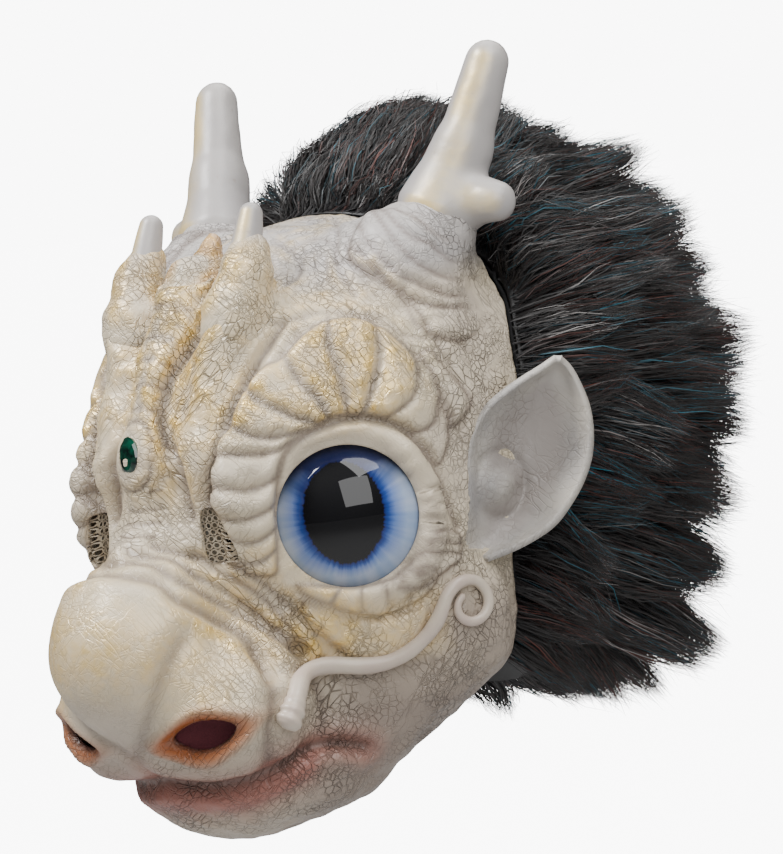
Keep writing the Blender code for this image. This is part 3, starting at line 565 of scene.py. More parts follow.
CREASES = (
    Crease("lid edge", 2.4, 1.7, (
        (-30, 4), (-28, 14), (-27, 24), (-19, 34), (-8, 38), (9, 41), (21, 38), (31, 30),
        (39, 15), (43, 2), (46, -11),
    )),
    Crease("inner lid", 1.3, 1.3, ((28, 14), (34, 2), (37, -12), (31, -18), (20, -24))),
    Crease("first fold", 3.4, 2.6, (
        (-108, -8), (-85, -15), (-74, -25), (-61, -35), (-52, -42), (-44, -52), (-40, -62),
    )),
    Crease("second fold", 3.0, 2.2, (
        (-104, -5), (-87, -8), (-74, -17), (-60, -28), (-50, -36), (-42, -43), (-29, -55),
    )),
    Crease("third fold", 2.6, 2.0, ((-94, -3), (-77, -8), (-66, -17), (-55, -25), (-44, -36),
                                    (-35, -45), (-27, -55))),
    Crease("fourth fold", 2.6, 2.0, ((-84, -1), (-68, -8), (-54, -18), (-41, -29),
                                     (-33, -40), (-26, -53))),
    Crease("fifth fold", 2.2, 1.9, ((-67, -7), (-50, -15), (-40, -23), (-31, -34),
                                    (-22, -46), (-11, -56))),
    Crease("mouth", 4.5, 2.8, (
        (-125, -84), (-112, -93), (-103, -98), (-96, -102), (-86, -105), (-71, -107),
        (-56, -106), (-44, -102), (-31, -96), (-21, -95), (-7, -99),
    )),
    Crease("behind the wing", 2.0, 4.0, ((-46, -51), (-41, -63), (-42, -74), (-45, -86),
                                         (-47, -96))),
    Crease("beside the ball", 1.2, 4.0, ((-76, -42), (-85, -54), (-92, -67), (-97, -77),
                                         (-103, -89), (-104, -98))),
    Crease("cheek", 1.6, 3.0, ((-29, -55), (-25, -67), (-22, -79), (-24, -89))),
    Crease("brow plate a", 1.5, 1.2, ((12, 131), (12, 119), (10, 108), (16, 93))),
    Crease("brow plate b", 1.3, 1.2, ((-10, 117), (2, 121), (11, 115))),
    Crease("brow plate c", 1.3, 1.2, ((-16, 122), (-8, 115), (-6, 108), (-13, 102))),
    Crease("brow plate d", 1.4, 1.2, ((11, 110), (23, 102), (32, 94))),
    Crease("over the fan", 1.2, 1.6, ((-20, 86), (-2, 87), (8, 86), (24, 81), (34, 73),
                                      (43, 70))),
    Crease("temple a", 1.4, 1.3, ((44, 76), (49, 64), (53, 56), (56, 43), (54, 30))),
    Crease("temple b", 1.3, 1.3, ((54, 70), (62, 62), (72, 52))),
    Crease("inside the ridge", 3.6, 2.4, ((-40, 108), (-43, 99), (-51, 88), (-63, 74),
                                          (-70, 63), (-73, 47), (-70, 32), (-66, 8))),
    Crease("outside the ridge", 2.4, 1.8, ((-16, 85), (-33, 64), (-44, 48), (-51, 35),
                                           (-54, 28), (-59, 8), (-60, -4))),
)

# The plates down the middle of the brow: how high each one's lower edge is, how far
# it slants, and how proud it stands.
Plate = namedtuple("Plate", "low slant height")

PLATES = (
    Plate(-25, 4, 2.6),
    Plate(-37, 4, 2.4),
    Plate(-47, 4, 2.2),
    Plate(-57, 3, 2.0),
    Plate(-67, 2, 1.8),
    Plate(-73, 0, 1.4),
    Plate(-101, 0, 1.6),
    Plate(-109, 0, 1.4),
    Plate(-115, 0, 1.2),
    Plate(-121, 0, 1.2),
    Plate(-128, 0, 1.0),
)
PLATE_TOP = -12.0
PLATE_HALF_WIDTH = 11.0
GEM_HEIGHT = -86.0


def pillow(gap, edge):
    """A quarter round: 0 at the edge, rising steeply, and 1 from so far in."""
    return np.sqrt(1 - (1 - np.clip(gap / edge, 0, 1)) ** 2)


def pad_relief(plane):
    """How far each point of the eye's plane is raised by the pads: the quarter round
    of its distance to the nearest outline or crease. The second value is 1 in the
    bottom of their grooves, where painted shade goes."""
    height = np.zeros(plane.shape[:-1])
    groove_shade = np.zeros(plane.shape[:-1])
    for pad in PADS:
        ring = curved(pad.outline + pad.outline[:1])
        gap = line_gap(plane, ring)
        for crease in pad.creases:
            gap = np.minimum(gap, line_gap(plane, curved(crease)))
        inside = inside_of(plane, ring)
        height = np.where(inside, np.maximum(height, pad.height * pillow(gap, pad.edge)), height)
        groove_shade = np.maximum(groove_shade, np.exp(-((gap / 1.2) ** 2)))
    return height, groove_shade


def crease_relief(plane):
    """How far each point is cut by the creases: a bell for the cut itself, and a wide low
    bell taken off it for the lips. The second value marks each crease's floor for
    painted shade."""
    depth = np.zeros(plane.shape[:-1])
    groove_shade = np.zeros(plane.shape[:-1])
    for crease in CREASES:
        part = line_gap(plane, curved(crease.line)) / crease.width
        bell = np.exp(-(part**2))
        depth += crease.depth * (bell - 0.35 * np.exp(-(((part - 2.4) / 1.2) ** 2)))
        groove_shade = np.maximum(groove_shade, bell**2 * min(crease.depth / 2.0, 1.0))
    return depth, groove_shade


def plate_relief(folded):
    """The middle plates, each a pillow between its lower edge and the next one's, and
    the two round lips about the stone. The second value marks the plates' seams and
    the ring about the stone for painted shade."""
    across, height = folded[..., 0] / MM, folded[..., 2] / MM
    raised = np.zeros(across.shape)
    groove_shade = np.zeros(across.shape)
    top = PLATE_TOP
    side = np.sqrt(np.maximum(1 - (across / PLATE_HALF_WIDTH) ** 4, 0))
    for plate in PLATES:
        level = height + plate.slant * np.abs(across) / PLATE_HALF_WIDTH
        inside = (level > plate.low) & (level < top)
        gap = np.minimum(level - plate.low, 1.6 * (top - level))
        raised = np.where(inside, plate.height * pillow(gap, 3.5) * side, raised)
        rim = np.exp(-(((level - plate.low) / 0.8) ** 2)) * (side > 0)
        groove_shade = np.maximum(groove_shade, rim)
        top = plate.low
    from_gem = np.hypot(across / 0.72, height - GEM_HEIGHT)
    about = eased(from_gem, 24, 14)
    lips = 1.6 * np.exp(-(((from_gem - 12.0) / 1.6) ** 2))
    lips += 1.2 * np.exp(-(((from_gem - 16.5) / 1.5) ** 2))
    groove_shade = np.where(from_gem < 17, np.exp(-(((from_gem - 14.3) / 0.8) ** 2)), groove_shade)
    return raised * (1 - about) + lips, groove_shade


def waves(points, seed, size, count=10):
    """Soft bumps between -1 and 1: a mean of sine waves of one length, each along its
    own seeded direction."""
    order = np.random.default_rng(seed)
    total = np.zeros(points.shape[:-1])
    for _ in range(count):
        direction = unit(order.normal(size=3))
        total += np.sin(points @ direction * 2 * np.pi / size + order.uniform(0, 2 * np.pi))
    return total / np.sqrt(count / 2)


# An opening in the skin: its centre, the direction that it faces, and its half width
# and half height. The eye holes are round, the nostrils are lenses, and the windows
# are leaning slots.
Opening = namedtuple("Opening", "kind centre out half")

OPENINGS = (
    Opening("eye", EYE_CENTRE, EYE_OUT, (EYE_HOLE_RADIUS, EYE_HOLE_RADIUS)),
    Opening(
        "nostril", np.array((41.0, -126.0, -204.0)) * MM, np.array((0.45, -0.86, -0.24)),
        (15.5 * MM, 7.4 * MM),
    ),
    Opening(
        "window", np.array((36.0, -95.5, -122.5)) * MM, np.array((0.42, -0.90, 0.03)),
        (7.2 * MM, 11.8 * MM),
    ),
)


def opening_share(opening, folded):
    """0 in the middle of an opening, 1 on its edge. The nostril is higher on the side
    of the cheek, and the window narrows and leans towards the nose as it rises."""
    beside = in_frame(folded, opening.centre, opening.out)
    across, up = beside[..., 0] / opening.half[0], beside[..., 1] / opening.half[1]
    if opening.kind == "nostril":
        up = up - 0.36 * across
        share = np.sqrt(across**2 + (up * (1 + 0.35 * across**2)) ** 2)
    elif opening.kind == "window":
        share = (np.abs((across + 0.35 * up) / (1 - 0.28 * up)) ** 5 + np.abs(up) ** 5) ** 0.2
    else:
        share = np.hypot(across, up)
    return np.where(np.abs(beside[..., 2]) < 30 * MM, share, 9.0)


# The ears are cupped leaves on the sides of the head, and the skin gives way to them.
EAR_ROOT = np.array((99.0, 6.0, -117.0)) * MM
EAR_ACROSS = np.array((0.66, 0.74, -0.13))
EAR_UP = np.array((0.03, 0.14, 0.99))
EAR_CLEARANCE = 2.0

# Where the ear's two rims run at each height, how deep the cup between them is, and
# how far the front rim stands forward.
EarSection = namedtuple("EarSection", "height front back cup forward")

EAR_SECTIONS = (
    EarSection(-33, -7, -1, 1, -3),
    EarSection(-27, -10, 14, 6, -1),
    EarSection(-19, -9, 27, 11, 1),
    EarSection(-9, -8, 35, 14, 3),
    EarSection(1, -8, 40.5, 15, 4),
    EarSection(11, -8, 43.5, 15, 4),
    EarSection(21.5, -5, 44, 13, 3),
    EarSection(31, 2, 42.5, 10, 2),
    EarSection(40, 14, 39, 6, 1),
    EarSection(46, 24, 35.5, 3, 0),
    EarSection(50, 30, 31.6, 0.5, 0),
)


def ear_axes():
    """The ear's own directions: across it, up it, and the way that its cup faces."""
    across = unit(EAR_ACROSS)
    up = unit(EAR_UP - across * (EAR_UP @ across))
    return across, up, np.cross(across, up)


def under_ears(points):
    """The skin's points drawn back behind the ear's cup where they stood in it."""
    across, up, facing = ear_axes()
    folded = mirrored(points)
    beside = (folded - EAR_ROOT) / MM
    sideways, height, ahead = beside @ across, beside @ up, beside @ facing
    sections = np.array(EAR_SECTIONS, float)
    front, back, cup, forward = (
        np.interp(height, sections[:, 0], column) for column in sections.T[1:]
    )
    place = (2 * sideways - front - back) / np.maximum(back - front, 1)
    sag = forward * (1 - place) / 2 - cup * (1 - place**2) - EAR_CLEARANCE
    within = (np.abs(place) < 1) & (height > -30) & (height < 46) & (ahead < 25)
    back_by = np.where(within, np.maximum(ahead - sag, 0), 0) * MM
    return (folded - back_by[..., None] * facing) * side_of(points)


def softened(values, times):
    """A grid's values, each mixed with its neighbours' as 1 to 2 to 1, both ways."""
    for _ in range(2 * times):
        wide = np.concatenate([values[:1], values, values[-1:]])
        values = ((wide[:-2] + 2 * values + wide[2:]) / 4).swapaxes(0, 1)
    return values


# How proud the lid swells over the eye, and the ring that it swells along. Then the
# middle of the smooth nose, and how proud a nostril's lip and how deep its funnel is.
LID_SWELL = 2.2
LID_RADIUS = 37.0
LID_WIDTH = 4.0
NOSE_PLACE = (10, -118, -180)
NOSTRIL_LIP = 2.2
NOSTRIL_FUNNEL = 3.0
SOFTENINGS = 10


def skin_surface():
    """The outer face: the coarse patch, halved three times and settled on the form
    each time, then moved square to the form by its relief. That is the pads less the
    creases, the plates, the lid's swell, seeded waves, and a lip and a funnel at the
    nostril. What lies lower than the softened relief is a hollow."""
    edge = SKIN_TO_HOOD + THROAT
    grid = laid_patch(edge, (0, -1, -0.25), FACE_HEART, RELIEF_FORMS, FACE_CELLS, FACE_DRIFTS)
    for _ in range(3):
        grid = settle(halved(grid), RELIEF_FORMS, rounds=2)
    _, square = slope(grid, RELIEF_FORMS)
    square = unit(square)
    folded = mirrored(grid)
    plane = in_frame(folded, EYE_CENTRE, EYE_OUT)[..., :2] / MM
    raised, pad_groove = pad_relief(plane)
    cut, crease_groove = crease_relief(plane)
    plates, plate_groove = plate_relief(folded)
    front = eased(-folded[..., 1] / MM, -30, 0)
    height = (raised - cut) * front + plates * eased(-grid[..., 1] / MM, 20, 40)
    away = np.hypot(plane[..., 0], plane[..., 1])
    lid = np.exp(-(((away - LID_RADIUS) / LID_WIDTH) ** 2)) * eased(plane[..., 1], -8, 14)
    height += LID_SWELL * lid
    rough = waves(grid / MM, 3, 26) * 0.5 + waves(grid / MM, 4, 9, 14) * 0.22
    smooth_nose = eased(np.linalg.norm(folded / MM - NOSE_PLACE, axis=-1), 42, 62)
    height += rough * (0.25 + 0.75 * smooth_nose)
    nostril = opening_share(OPENINGS[1], folded)
    height += NOSTRIL_LIP * np.exp(-(((nostril - 1.62) / 0.3) ** 2))
    height -= NOSTRIL_FUNNEL * eased(nostril, 1.5, 1.0)
    groove_shade = np.maximum.reduce([pad_groove * front, crease_groove * front, plate_groove])
    window = opening_share(OPENINGS[2], folded)
    height = np.where(height > 0, height * eased(window, 0.7, 2.4), height)
    height = softened(height, 1)
    # Painted shade goes where the surface lies lower than its softened relief, and gold with a
    # painted highlight goes where it stands proud.
    hollows = softened(height, SOFTENINGS) - height
    groove_shade = np.maximum(groove_shade, 0.7 * eased(hollows, 0.15, 1.5))
    proud = eased(-hollows, -0.3, 0.7)
    lifted = under_ears(grid + (height * MM)[..., None] * square)
    return lifted, square, plane, groove_shade, height, nostril, proud


def cut_openings(points, faces, folded):
    """Openings in a grid's faces: faces whose corners are all inside an opening go,
    and the corners left inside it are drawn on to its edge."""
    gone = np.zeros(len(faces), bool)
    for opening in OPENINGS:
        share = opening_share(opening, folded)
        inside = share < 1
        gone |= inside[faces].all(axis=1)
        out = unit(opening.out) * side_of(points)
        beside = points - opening.centre * side_of(points)
        flat = beside - (beside * out).sum(-1, keepdims=True) * out
        move = flat * (1 / np.maximum(share, 0.2) - 1)[:, None]
        points = np.where(inside[:, None], points + move, points)
    return points, faces[~gone]


def open_edges(faces):
    """The edges that belong to one face only, in that face's direction."""
    corners = faces.shape[1]
    pairs = np.concatenate([faces[:, [k, (k + 1) % corners]] for k in range(corners)])
    low = np.sort(pairs, axis=1)
    keys = low[:, 0] * (low.max() + 1) + low[:, 1]
    _, first, counts = np.unique(keys, return_index=True, return_counts=True)
    return pairs[first[counts == 1]]


def grid_quads(rows, columns, first=0):
    """The four-cornered faces of a grid of points."""
    index = first + np.arange(rows * columns).reshape(rows, columns)
    corners = (index[:-1, :-1], index[:-1, 1:], index[1:, 1:], index[1:, :-1])
    return np.stack([corner.ravel() for corner in corners], axis=-1)


def new_piece(name, points, faces, material, slot, smooth=True, **attributes):
    """One named object from arrays of points and faces, with values on its points
    and a material. Its slot is not used. It rides on the mask."""
    mesh = bpy.data.meshes.new(name)
    points = np.asarray(points, float).reshape(-1, 3)
    faces = faces if isinstance(faces, list) else np.asarray(faces).tolist()
    mesh.from_pydata(points.tolist(), [], faces)
    for key, values in attributes.items():
        layer = mesh.attributes.new(key, "FLOAT", "POINT")
        layer.data.foreach_set("value", np.asarray(values, np.float32).ravel())
    mesh.polygons.foreach_set("use_smooth", [smooth] * len(mesh.polygons))
    mesh.materials.append(material)
    mesh.update()
    piece = bpy.data.objects.new(name, mesh)
    bpy.context.scene.collection.objects.link(piece)
    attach(piece, "root")
    return piece


def new_material(name):
    """A new material, its node tree and its shader."""
    material = bpy.data.materials.new(name)
    material.use_nodes = True
    tree = material.node_tree
    return material, tree, tree.nodes["Principled BSDF"]


def feed(tree, made, values):
    """A node's inputs, each set to its value or linked to another node's output."""
    for key, value in values.items():
        if isinstance(value, bpy.types.NodeSocket):
            tree.links.new(value, made.inputs[key])
        else:
            made.inputs[key].default_value = value


def node(tree, kind, values=None, **settings):
    """A node of a kind, with its settings, and its inputs set or linked by name."""
    made = tree.nodes.new("ShaderNode" + kind)
    for key, value in settings.items():
        setattr(made, key, value)
    feed(tree, made, values or {})
    return made


def layer(tree, name):
    """A value that the surface carries at each of its points."""
    return node(tree, "Attribute", attribute_name=name).outputs["Fac"]


def noise(tree, place, scale, detail):
    """A cloudy value between 0 and 1."""
    return node(tree, "TexNoise", {"Vector": place, "Scale": scale, "Detail": detail}).outputs[0]


def bumped(tree, height, strength, distance):
    """The directions of a surface that a height roughens."""
    values = {"Height": height, "Strength": strength, "Distance": distance}
    return node(tree, "Bump", values).outputs[0]


def mixed(tree, factor, first, second):
    """Two colours mixed by a factor, each a colour or another node's output."""
    mix = node(tree, "Mix", data_type="RGBA")
    for index, value in ((0, factor), (6, first), (7, second)):
        if isinstance(value, bpy.types.NodeSocket):
            tree.links.new(value, mix.inputs[index])
        else:
            mix.inputs[index].default_value = (*value, 1) if index else value
    return mix.outputs[2]


def ramp(tree, factor, low, high, start=0.0, end=1.0):
    """A value mapped from one range to another and held at its ends."""
    made = node(
        tree, "MapRange",
        {"Value": factor, "From Min": low, "From Max": high, "To Min": start, "To Max": end},
    )
    return made.outputs[0]


def math(tree, operation, first, second=0.0):
    """One sum on two values."""
    return node(tree, "Math", {0: first, 1: second}, operation=operation).outputs[0]


def rgb(red, green, blue):
    """A colour as a painter's chart gives it, 0 to 255, in the shader's own scale."""
    share = np.array((red, green, blue)) / 255
    return tuple(np.where(share <= 0.04045, share / 12.92, ((share + 0.055) / 1.055) ** 2.4))


# A set of fine creases: how its cells are turned, how long they are for their width,
# and how many there are to a metre.
CreaseSet = namedtuple("CreaseSet", "turn stretch size")

CREASE_SETS = (
    CreaseSet((0.0, 0.8, 0.3), 6.5, 380.0),
    CreaseSet((0.0, -0.75, 0.3), 6.5, 350.0),
    CreaseSet((0.4, 1.6, 0.2), 2.4, 330.0),
)


def crackle_group():
    """Fine wrinkled skin, as latex takes it from the sculpted clay. Each set of short
    creases lies along the edges of long Voronoi cells, and a patchy mask breaks it up.
    Soft dimples lie under them."""
    group = bpy.data.node_groups.new("cracked_skin", "ShaderNodeTree")
    socket = group.interface.new_socket("Scale", in_out="INPUT", socket_type="NodeSocketFloat")
    socket.default_value = 1.0
    for name in ("Height", "Cracks", "Dimples"):
        group.interface.new_socket(name, in_out="OUTPUT", socket_type="NodeSocketFloat")
    start = group.nodes.new("NodeGroupInput")
    end = group.nodes.new("NodeGroupOutput")
    place = node(group, "TexCoord").outputs["Object"]
    sized = node(group, "VectorMath", {0: place}, operation="SCALE")
    group.links.new(start.outputs["Scale"], sized.inputs["Scale"])
    place = sized.outputs[0]
    lines = []
    for turn, stretch, size in CREASE_SETS:
        laid = node(group, "Mapping", {"Vector": place, "Rotation": turn,
                                       "Scale": (1.0, 1.0, stretch)},
                    vector_type="TEXTURE").outputs[0]
        cells = node(group, "TexVoronoi", {"Vector": laid, "Scale": size, "Randomness": 0.9},
                     feature="DISTANCE_TO_EDGE")
        shown = ramp(group, noise(group, laid, size / 5.0, 2.0), 0.44, 0.62)
        edge = ramp(group, cells.outputs["Distance"], 0.0, 0.085, 1.0, 0.0)
        lines.append(math(group, "MULTIPLY", edge, shown))
    cracks = math(group, "MAXIMUM", math(group, "MAXIMUM", lines[0], lines[1]), lines[2])
    soft = node(group, "TexNoise", {"Vector": place, "Scale": 130.0, "Detail": 3.0,
                                    "Distortion": 0.8}).outputs[0]
    height = math(group, "SUBTRACT", math(group, "MULTIPLY", soft, 1.5), cracks)
    group.links.new(height, end.inputs["Height"])
    group.links.new(cracks, end.inputs["Cracks"])
    group.links.new(ramp(group, soft, 0.35, 0.65), end.inputs["Dimples"])
    return group


CRACKLE = crackle_group()


def skin_material():
    """Pearl beige latex: gold dust on what stands proud, which is also a painted highlight,
    painted grey-violet shade in what lies low, orange and maroon about the nostrils, pink
    on the lips, and cracks."""
    material, tree, shader = new_material("latex_skin")
    place = node(tree, "TexCoord").outputs["Object"]
    cracked = node(tree, "Group", {"Scale": 1.0}, node_tree=CRACKLE)
    worn = layer(tree, "wrinkle")
    clouds = noise(tree, place, 18.0, 4.0)
    speck = noise(tree, place, 240.0, 2.0)
    colour = mixed(tree, ramp(tree, clouds, 0.35, 0.65), rgb(206, 192, 166), rgb(192, 179, 161))
    # Gold pearl paint, which also stands in as a painted highlight where the light falls on the
    # brow, the nose and the high points.
    gold = math(tree, "MULTIPLY", layer(tree, "gold"), ramp(tree, speck, 0.3, 0.6, 0.6, 1.0))
    dimples = ramp(tree, cracked.outputs["Dimples"], 0.0, 1.0, 0.45, 1.0)
    gold = math(tree, "MULTIPLY", gold, dimples)
    # Painted shade under the chin and on the cheek behind the whisker.
    colour = mixed(tree, layer(tree, "shade"), colour, rgb(140, 126, 114))
    colour = mixed(tree, layer(tree, "grey"), colour, rgb(168, 166, 168))
    colour = mixed(tree, gold, colour, rgb(240, 202, 116))
    colour = mixed(tree, layer(tree, "pink"), colour, rgb(150, 96, 84))
    colour = mixed(tree, layer(tree, "orange"), colour, rgb(158, 80, 18))
    # Painted shade in the grooves, creases and hollows of the relief, and along the mouth.
    dark = math(tree, "MULTIPLY", layer(tree, "groove_shade"), 0.7)
    colour = mixed(tree, dark, colour, rgb(104, 88, 80))
    lines = math(tree, "MULTIPLY", math(tree, "MULTIPLY", cracked.outputs["Cracks"], worn), 0.42)
    colour = mixed(tree, lines, colour, rgb(98, 84, 74))
    colour = mixed(tree, layer(tree, "hollow"), colour, rgb(60, 28, 26))
    shine = math(tree, "MULTIPLY", gold, -0.12)
    feed(tree, shader, {
        "Base Color": colour,
        "Roughness": math(tree, "ADD", shine, ramp(tree, clouds, 0.3, 0.7, 0.40, 0.50)),
        "Metallic": math(tree, "MULTIPLY", gold, 0.5),
        "Coat Roughness": 0.35,
        "Coat Weight": ramp(tree, layer(tree, "gold"), 0, 1, 0.12, 0.3),
        "Normal": bumped(tree, cracked.outputs["Height"], ramp(tree, worn, 0.0, 1.0, 0.25, 0.9),
                         0.0011),
    })
    return material


SKIN_PAINT = skin_material()


def skin_paint(points, folded, plane, groove_shade, height, nostril, high):
    """Where each colour lies, as values on the points."""
    across, up = plane[..., 0], plane[..., 1]
    x, y, z = (folded[..., k] / MM for k in range(3))
    away_from_lid = np.abs(np.hypot(across, up) - 34)
    patches = waves(points / MM, 11, 60) * 0.5 + 0.5
    proud = eased(height, 1.0, 5.0)
    brow = eased(up, 25, 60) * eased(up, 118, 92) * eased(across, 50, 25)
    middle = eased(x, 42, 26) * eased(z, -120, -100)
    folds = eased(up, -2, -8) * eased(up, -62, -50) * eased(across, 5, -10)
    bag = eased(up, -32, -40) * eased(up, -68, -58)
    bag = bag * eased(across, -34, -24) * eased(across, 40, 28)
    # The gold mask: gold paint, and also a painted highlight on the upper brow, the raised and
    # rounded parts, and the bag under the eye.
    gold = np.clip(0.75 * proud * brow + 0.55 * brow + 0.45 * middle + 0.4 * folds, 0, 1)
    gold = gold * (0.55 + 0.6 * patches) * (0.3 + 1.1 * high)
    # More gold as a painted highlight on the top of the nose ball and on the nostril wing.
    ball = np.exp(-(((x - 14) ** 2 + (z + 160) ** 2) / 420)) * eased(y, -60, -100)
    wing = np.exp(-(((x - 46) ** 2 + (z + 186) ** 2) / 180)) * eased(y, -60, -100)
    gold = np.clip(gold + 0.6 * ball + 0.5 * wing + 0.5 * bag, 0, 1)
    grey = 0.75 * eased(z, -34, -18) * eased(y, -66, -40)
    grey = grey + 0.45 * eased(x, 20, 8) * eased(z, -70, -40)
    # Painted shade: darker under the chin and jaw, and on the cheek behind the whisker, where the
    # light falls least.
    shade = 0.5 * eased(z, -190, -225) + 0.75 * eased(y, -84, -50) * eased(z, -150, -178)
    # The bag under the eye is spared most of the painted shade, in its grooves as well.
    shade = shade * (1 - bag)
    groove_shade = groove_shade * (1 - 0.5 * bag)
    mouth = line_gap(plane, curved(CREASES[7].line))
    lips = np.exp(-((mouth / 8.0) ** 2))
    # Painted shade along the mouth's line.
    groove_shade = np.maximum(groove_shade, 1.1 * np.exp(-((mouth / 2.2) ** 2)))
    lower = np.exp(-((line_gap(plane, ((-110, -104), (-90, -112), (-60, -113), (-35, -104)))
                      / 9.0) ** 2))
    pink = np.clip(0.75 * lips + 0.85 * lower, 0, 0.95) * eased(y, 10, -20)
    orange = np.exp(-(((nostril - 1.1) / 0.62) ** 2)) * (0.85 + 0.15 * patches)
    ball_part = eased(np.linalg.norm(folded / MM - (8, -122, -172), axis=-1), 30, 58)
    wrinkle = (0.15 + 0.85 * ball_part) * (0.55 + 0.45 * patches) * eased(away_from_lid, 3, 9)
    return {
        "gold": gold, "grey": np.clip(grey, 0, 1), "shade": np.clip(shade, 0, 1), "pink": pink,
        "orange": orange, "groove_shade": np.clip(groove_shade, 0, 1), "wrinkle": wrinkle,
    }


# The lining is coarser than the outer face and keeps clear of the openings. A share of
# an opening below this lies beside its edge, and one below the last is the wall that
# goes in at a nostril.
LINING_STEP = 8
LINING_GAP = 1.5 * MM
BESIDE_OPENING = 1.25
NOSTRIL_WALL = 1.4


def make_skin():
    """The outer face, cut open, with its edges carried inwards, and the coarser inner
    face that closes it."""
    outer, square, plane, groove_shade, height, nostril, high = skin_surface()
    side = len(outer)
    flat_points, flat_square = outer.reshape(-1, 3), square.reshape(-1, 3)
    folded = mirrored(outer)
    flat_folded = folded.reshape(-1, 3)
    points, faces = cut_openings(flat_points, grid_quads(side, side), flat_folded)
    edge = open_edges(faces)
    rim, place = np.unique(edge.ravel(), return_inverse=True)
    place = place.reshape(edge.shape) + len(points)
    inward = points[rim] - SKIN_WALL * flat_square[rim]
    around_eye = opening_share(OPENINGS[0], flat_folded[rim]) < BESIDE_OPENING
    out = unit(EYE_OUT) * side_of(points[rim])
    inward = np.where(around_eye[:, None], points[rim] - EYE_SEAT_DEPTH * out, inward)
    walls = np.stack([edge[:, 1], edge[:, 0], place[:, 0], place[:, 1]], axis=-1)
    coarse = outer[::LINING_STEP, ::LINING_STEP]
    inner = settle(coarse, FACE_FORMS, -SKIN_WALL - LINING_GAP, rounds=6)
    lining, lining_faces = inner.reshape(-1, 3), grid_quads(len(inner), len(inner))
    clear = np.min([opening_share(opening, mirrored(coarse)) for opening in OPENINGS], axis=0)
    lining_faces = lining_faces[(clear.ravel()[lining_faces] > BESIDE_OPENING).all(axis=1)]
    first = len(points) + len(rim)
    every = np.concatenate([points, inward, lining])
    all_faces = np.concatenate([faces, walls, lining_faces[:, ::-1] + first])
    unpainted = np.zeros(len(lining))
    values = {
        key: np.concatenate([paint.ravel(), paint.ravel()[rim], unpainted])
        for key, paint in skin_paint(outer, folded, plane, groove_shade, height, nostril, high).items()
    }
    in_nostril = (nostril.ravel()[rim] < NOSTRIL_WALL) * 1.0
    values["hollow"] = np.concatenate([np.zeros(len(points)), in_nostril, unpainted])
    skin = new_piece("latex_skin", every, all_faces, SKIN_PAINT, "latex_skin", **values)
    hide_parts("face_shell")


make_skin()


# The straight horns, each with a blunt knob at the rear outside, and the two upright
# spikes that end the brow ridges. They are cast in the same latex over foam, left
# smooth, and painted pale grey with a streak of gold pearl down the front, which is
# also a painted highlight on the side that faces forward.
HORN_FORMS = (
    Form("cone", "limb", (71, 28, 0), (78, 40, 23), (18, 12.5), 0),
    Form("shaft", "limb", (78, 40, 23), (87.2, 54.4, 60.2), (12.4, 9.8), 6),
    Form("knob", "limb", (78, 36, 2), (98, 36, 0), (13, 9), 6),
)
SPIKE_FORMS = (
    Form("spike", "limb", (33, -59, -20), (32, -47, 9.4), (8.4, 5.2), 0),
    Form("foot", "limb", (31, -64, -34), (33, -59, -20), (7, 8.2), 8),
)
HORN_LINE = ((71, 28, -4), (87, 54, 59))
SPIKE_LINE = ((32, -61, -26), (32, -47, 9))
FAN_LEANS = np.radians((75, 60, 45, 32, 20, 9))
RAY_STEP = 0.7 * MM


def ringed_faces(rings, spokes):
    """The faces of rings laid one after another and closed by a point at each end,
    the two points coming after the rings."""
    index = np.arange(rings * spokes).reshape(rings, spokes)
    following = np.roll(index, -1, axis=1)
    corners = (index[:-1], following[:-1], following[1:], index[1:])
    sides = np.stack([corner.ravel() for corner in corners], axis=-1).tolist()
    first, last = rings * spokes, rings * spokes + 1
    low = [(b, a, first) for a, b in zip(index[0].tolist(), following[0].tolist())]
    high = [(a, b, last) for a, b in zip(index[-1].tolist(), following[-1].tolist())]
    return sides + low + high


def standing_surface(line, forms, rings, spokes, reach, leave=outermost):
    """The skin of a form about its middle line: rays leave each point of the line
    square to it, and fan round both ends. Leave says where a ray ends."""
    start, end = np.array(line, float) * MM
    across, up, along = square_to(end - start)
    angle = np.arange(spokes) * 2 * np.pi / spokes
    about = np.cos(angle)[:, None] * across + np.sin(angle)[:, None] * up
    leans = np.concatenate([-FAN_LEANS, np.zeros(rings), FAN_LEANS[::-1]])
    low, high = np.zeros(len(FAN_LEANS)), np.ones(len(FAN_LEANS))
    part = np.concatenate([low, np.linspace(0, 1, rings), high])
    places = start + part[:, None, None] * (end - start)
    places = np.broadcast_to(places, (len(part), spokes, 3))
    rays = np.cos(leans)[:, None, None] * about + np.sin(leans)[:, None, None] * along
    body = leave(places, rays, forms, reach, RAY_STEP)
    tips = leave(np.array([start, end]), np.array([-along, along]), forms, reach, RAY_STEP)
    return np.concatenate([body.reshape(-1, 3), tips]), len(part)


def nearest_exit(start, directions, forms, reach, step):
    """Where rays first leave the surface. A ray that stays inside ends at its reach."""
    lengths = np.arange(0, reach, step)
    outside = np.stack(
        [distance(start + length * directions, forms) > 0 for length in lengths], -1
    )
    first = np.where(outside.any(-1), lengths[np.argmax(outside, axis=-1)], reach)
    near, far = np.maximum(first - step, 0), first
    for _ in range(10):
        middle = (near + far) / 2
        value = distance(start + middle[..., None] * directions, forms)
        near = np.where(value < 0, middle, near)
        far = np.where(value < 0, far, middle)
    return start + near[..., None] * directions


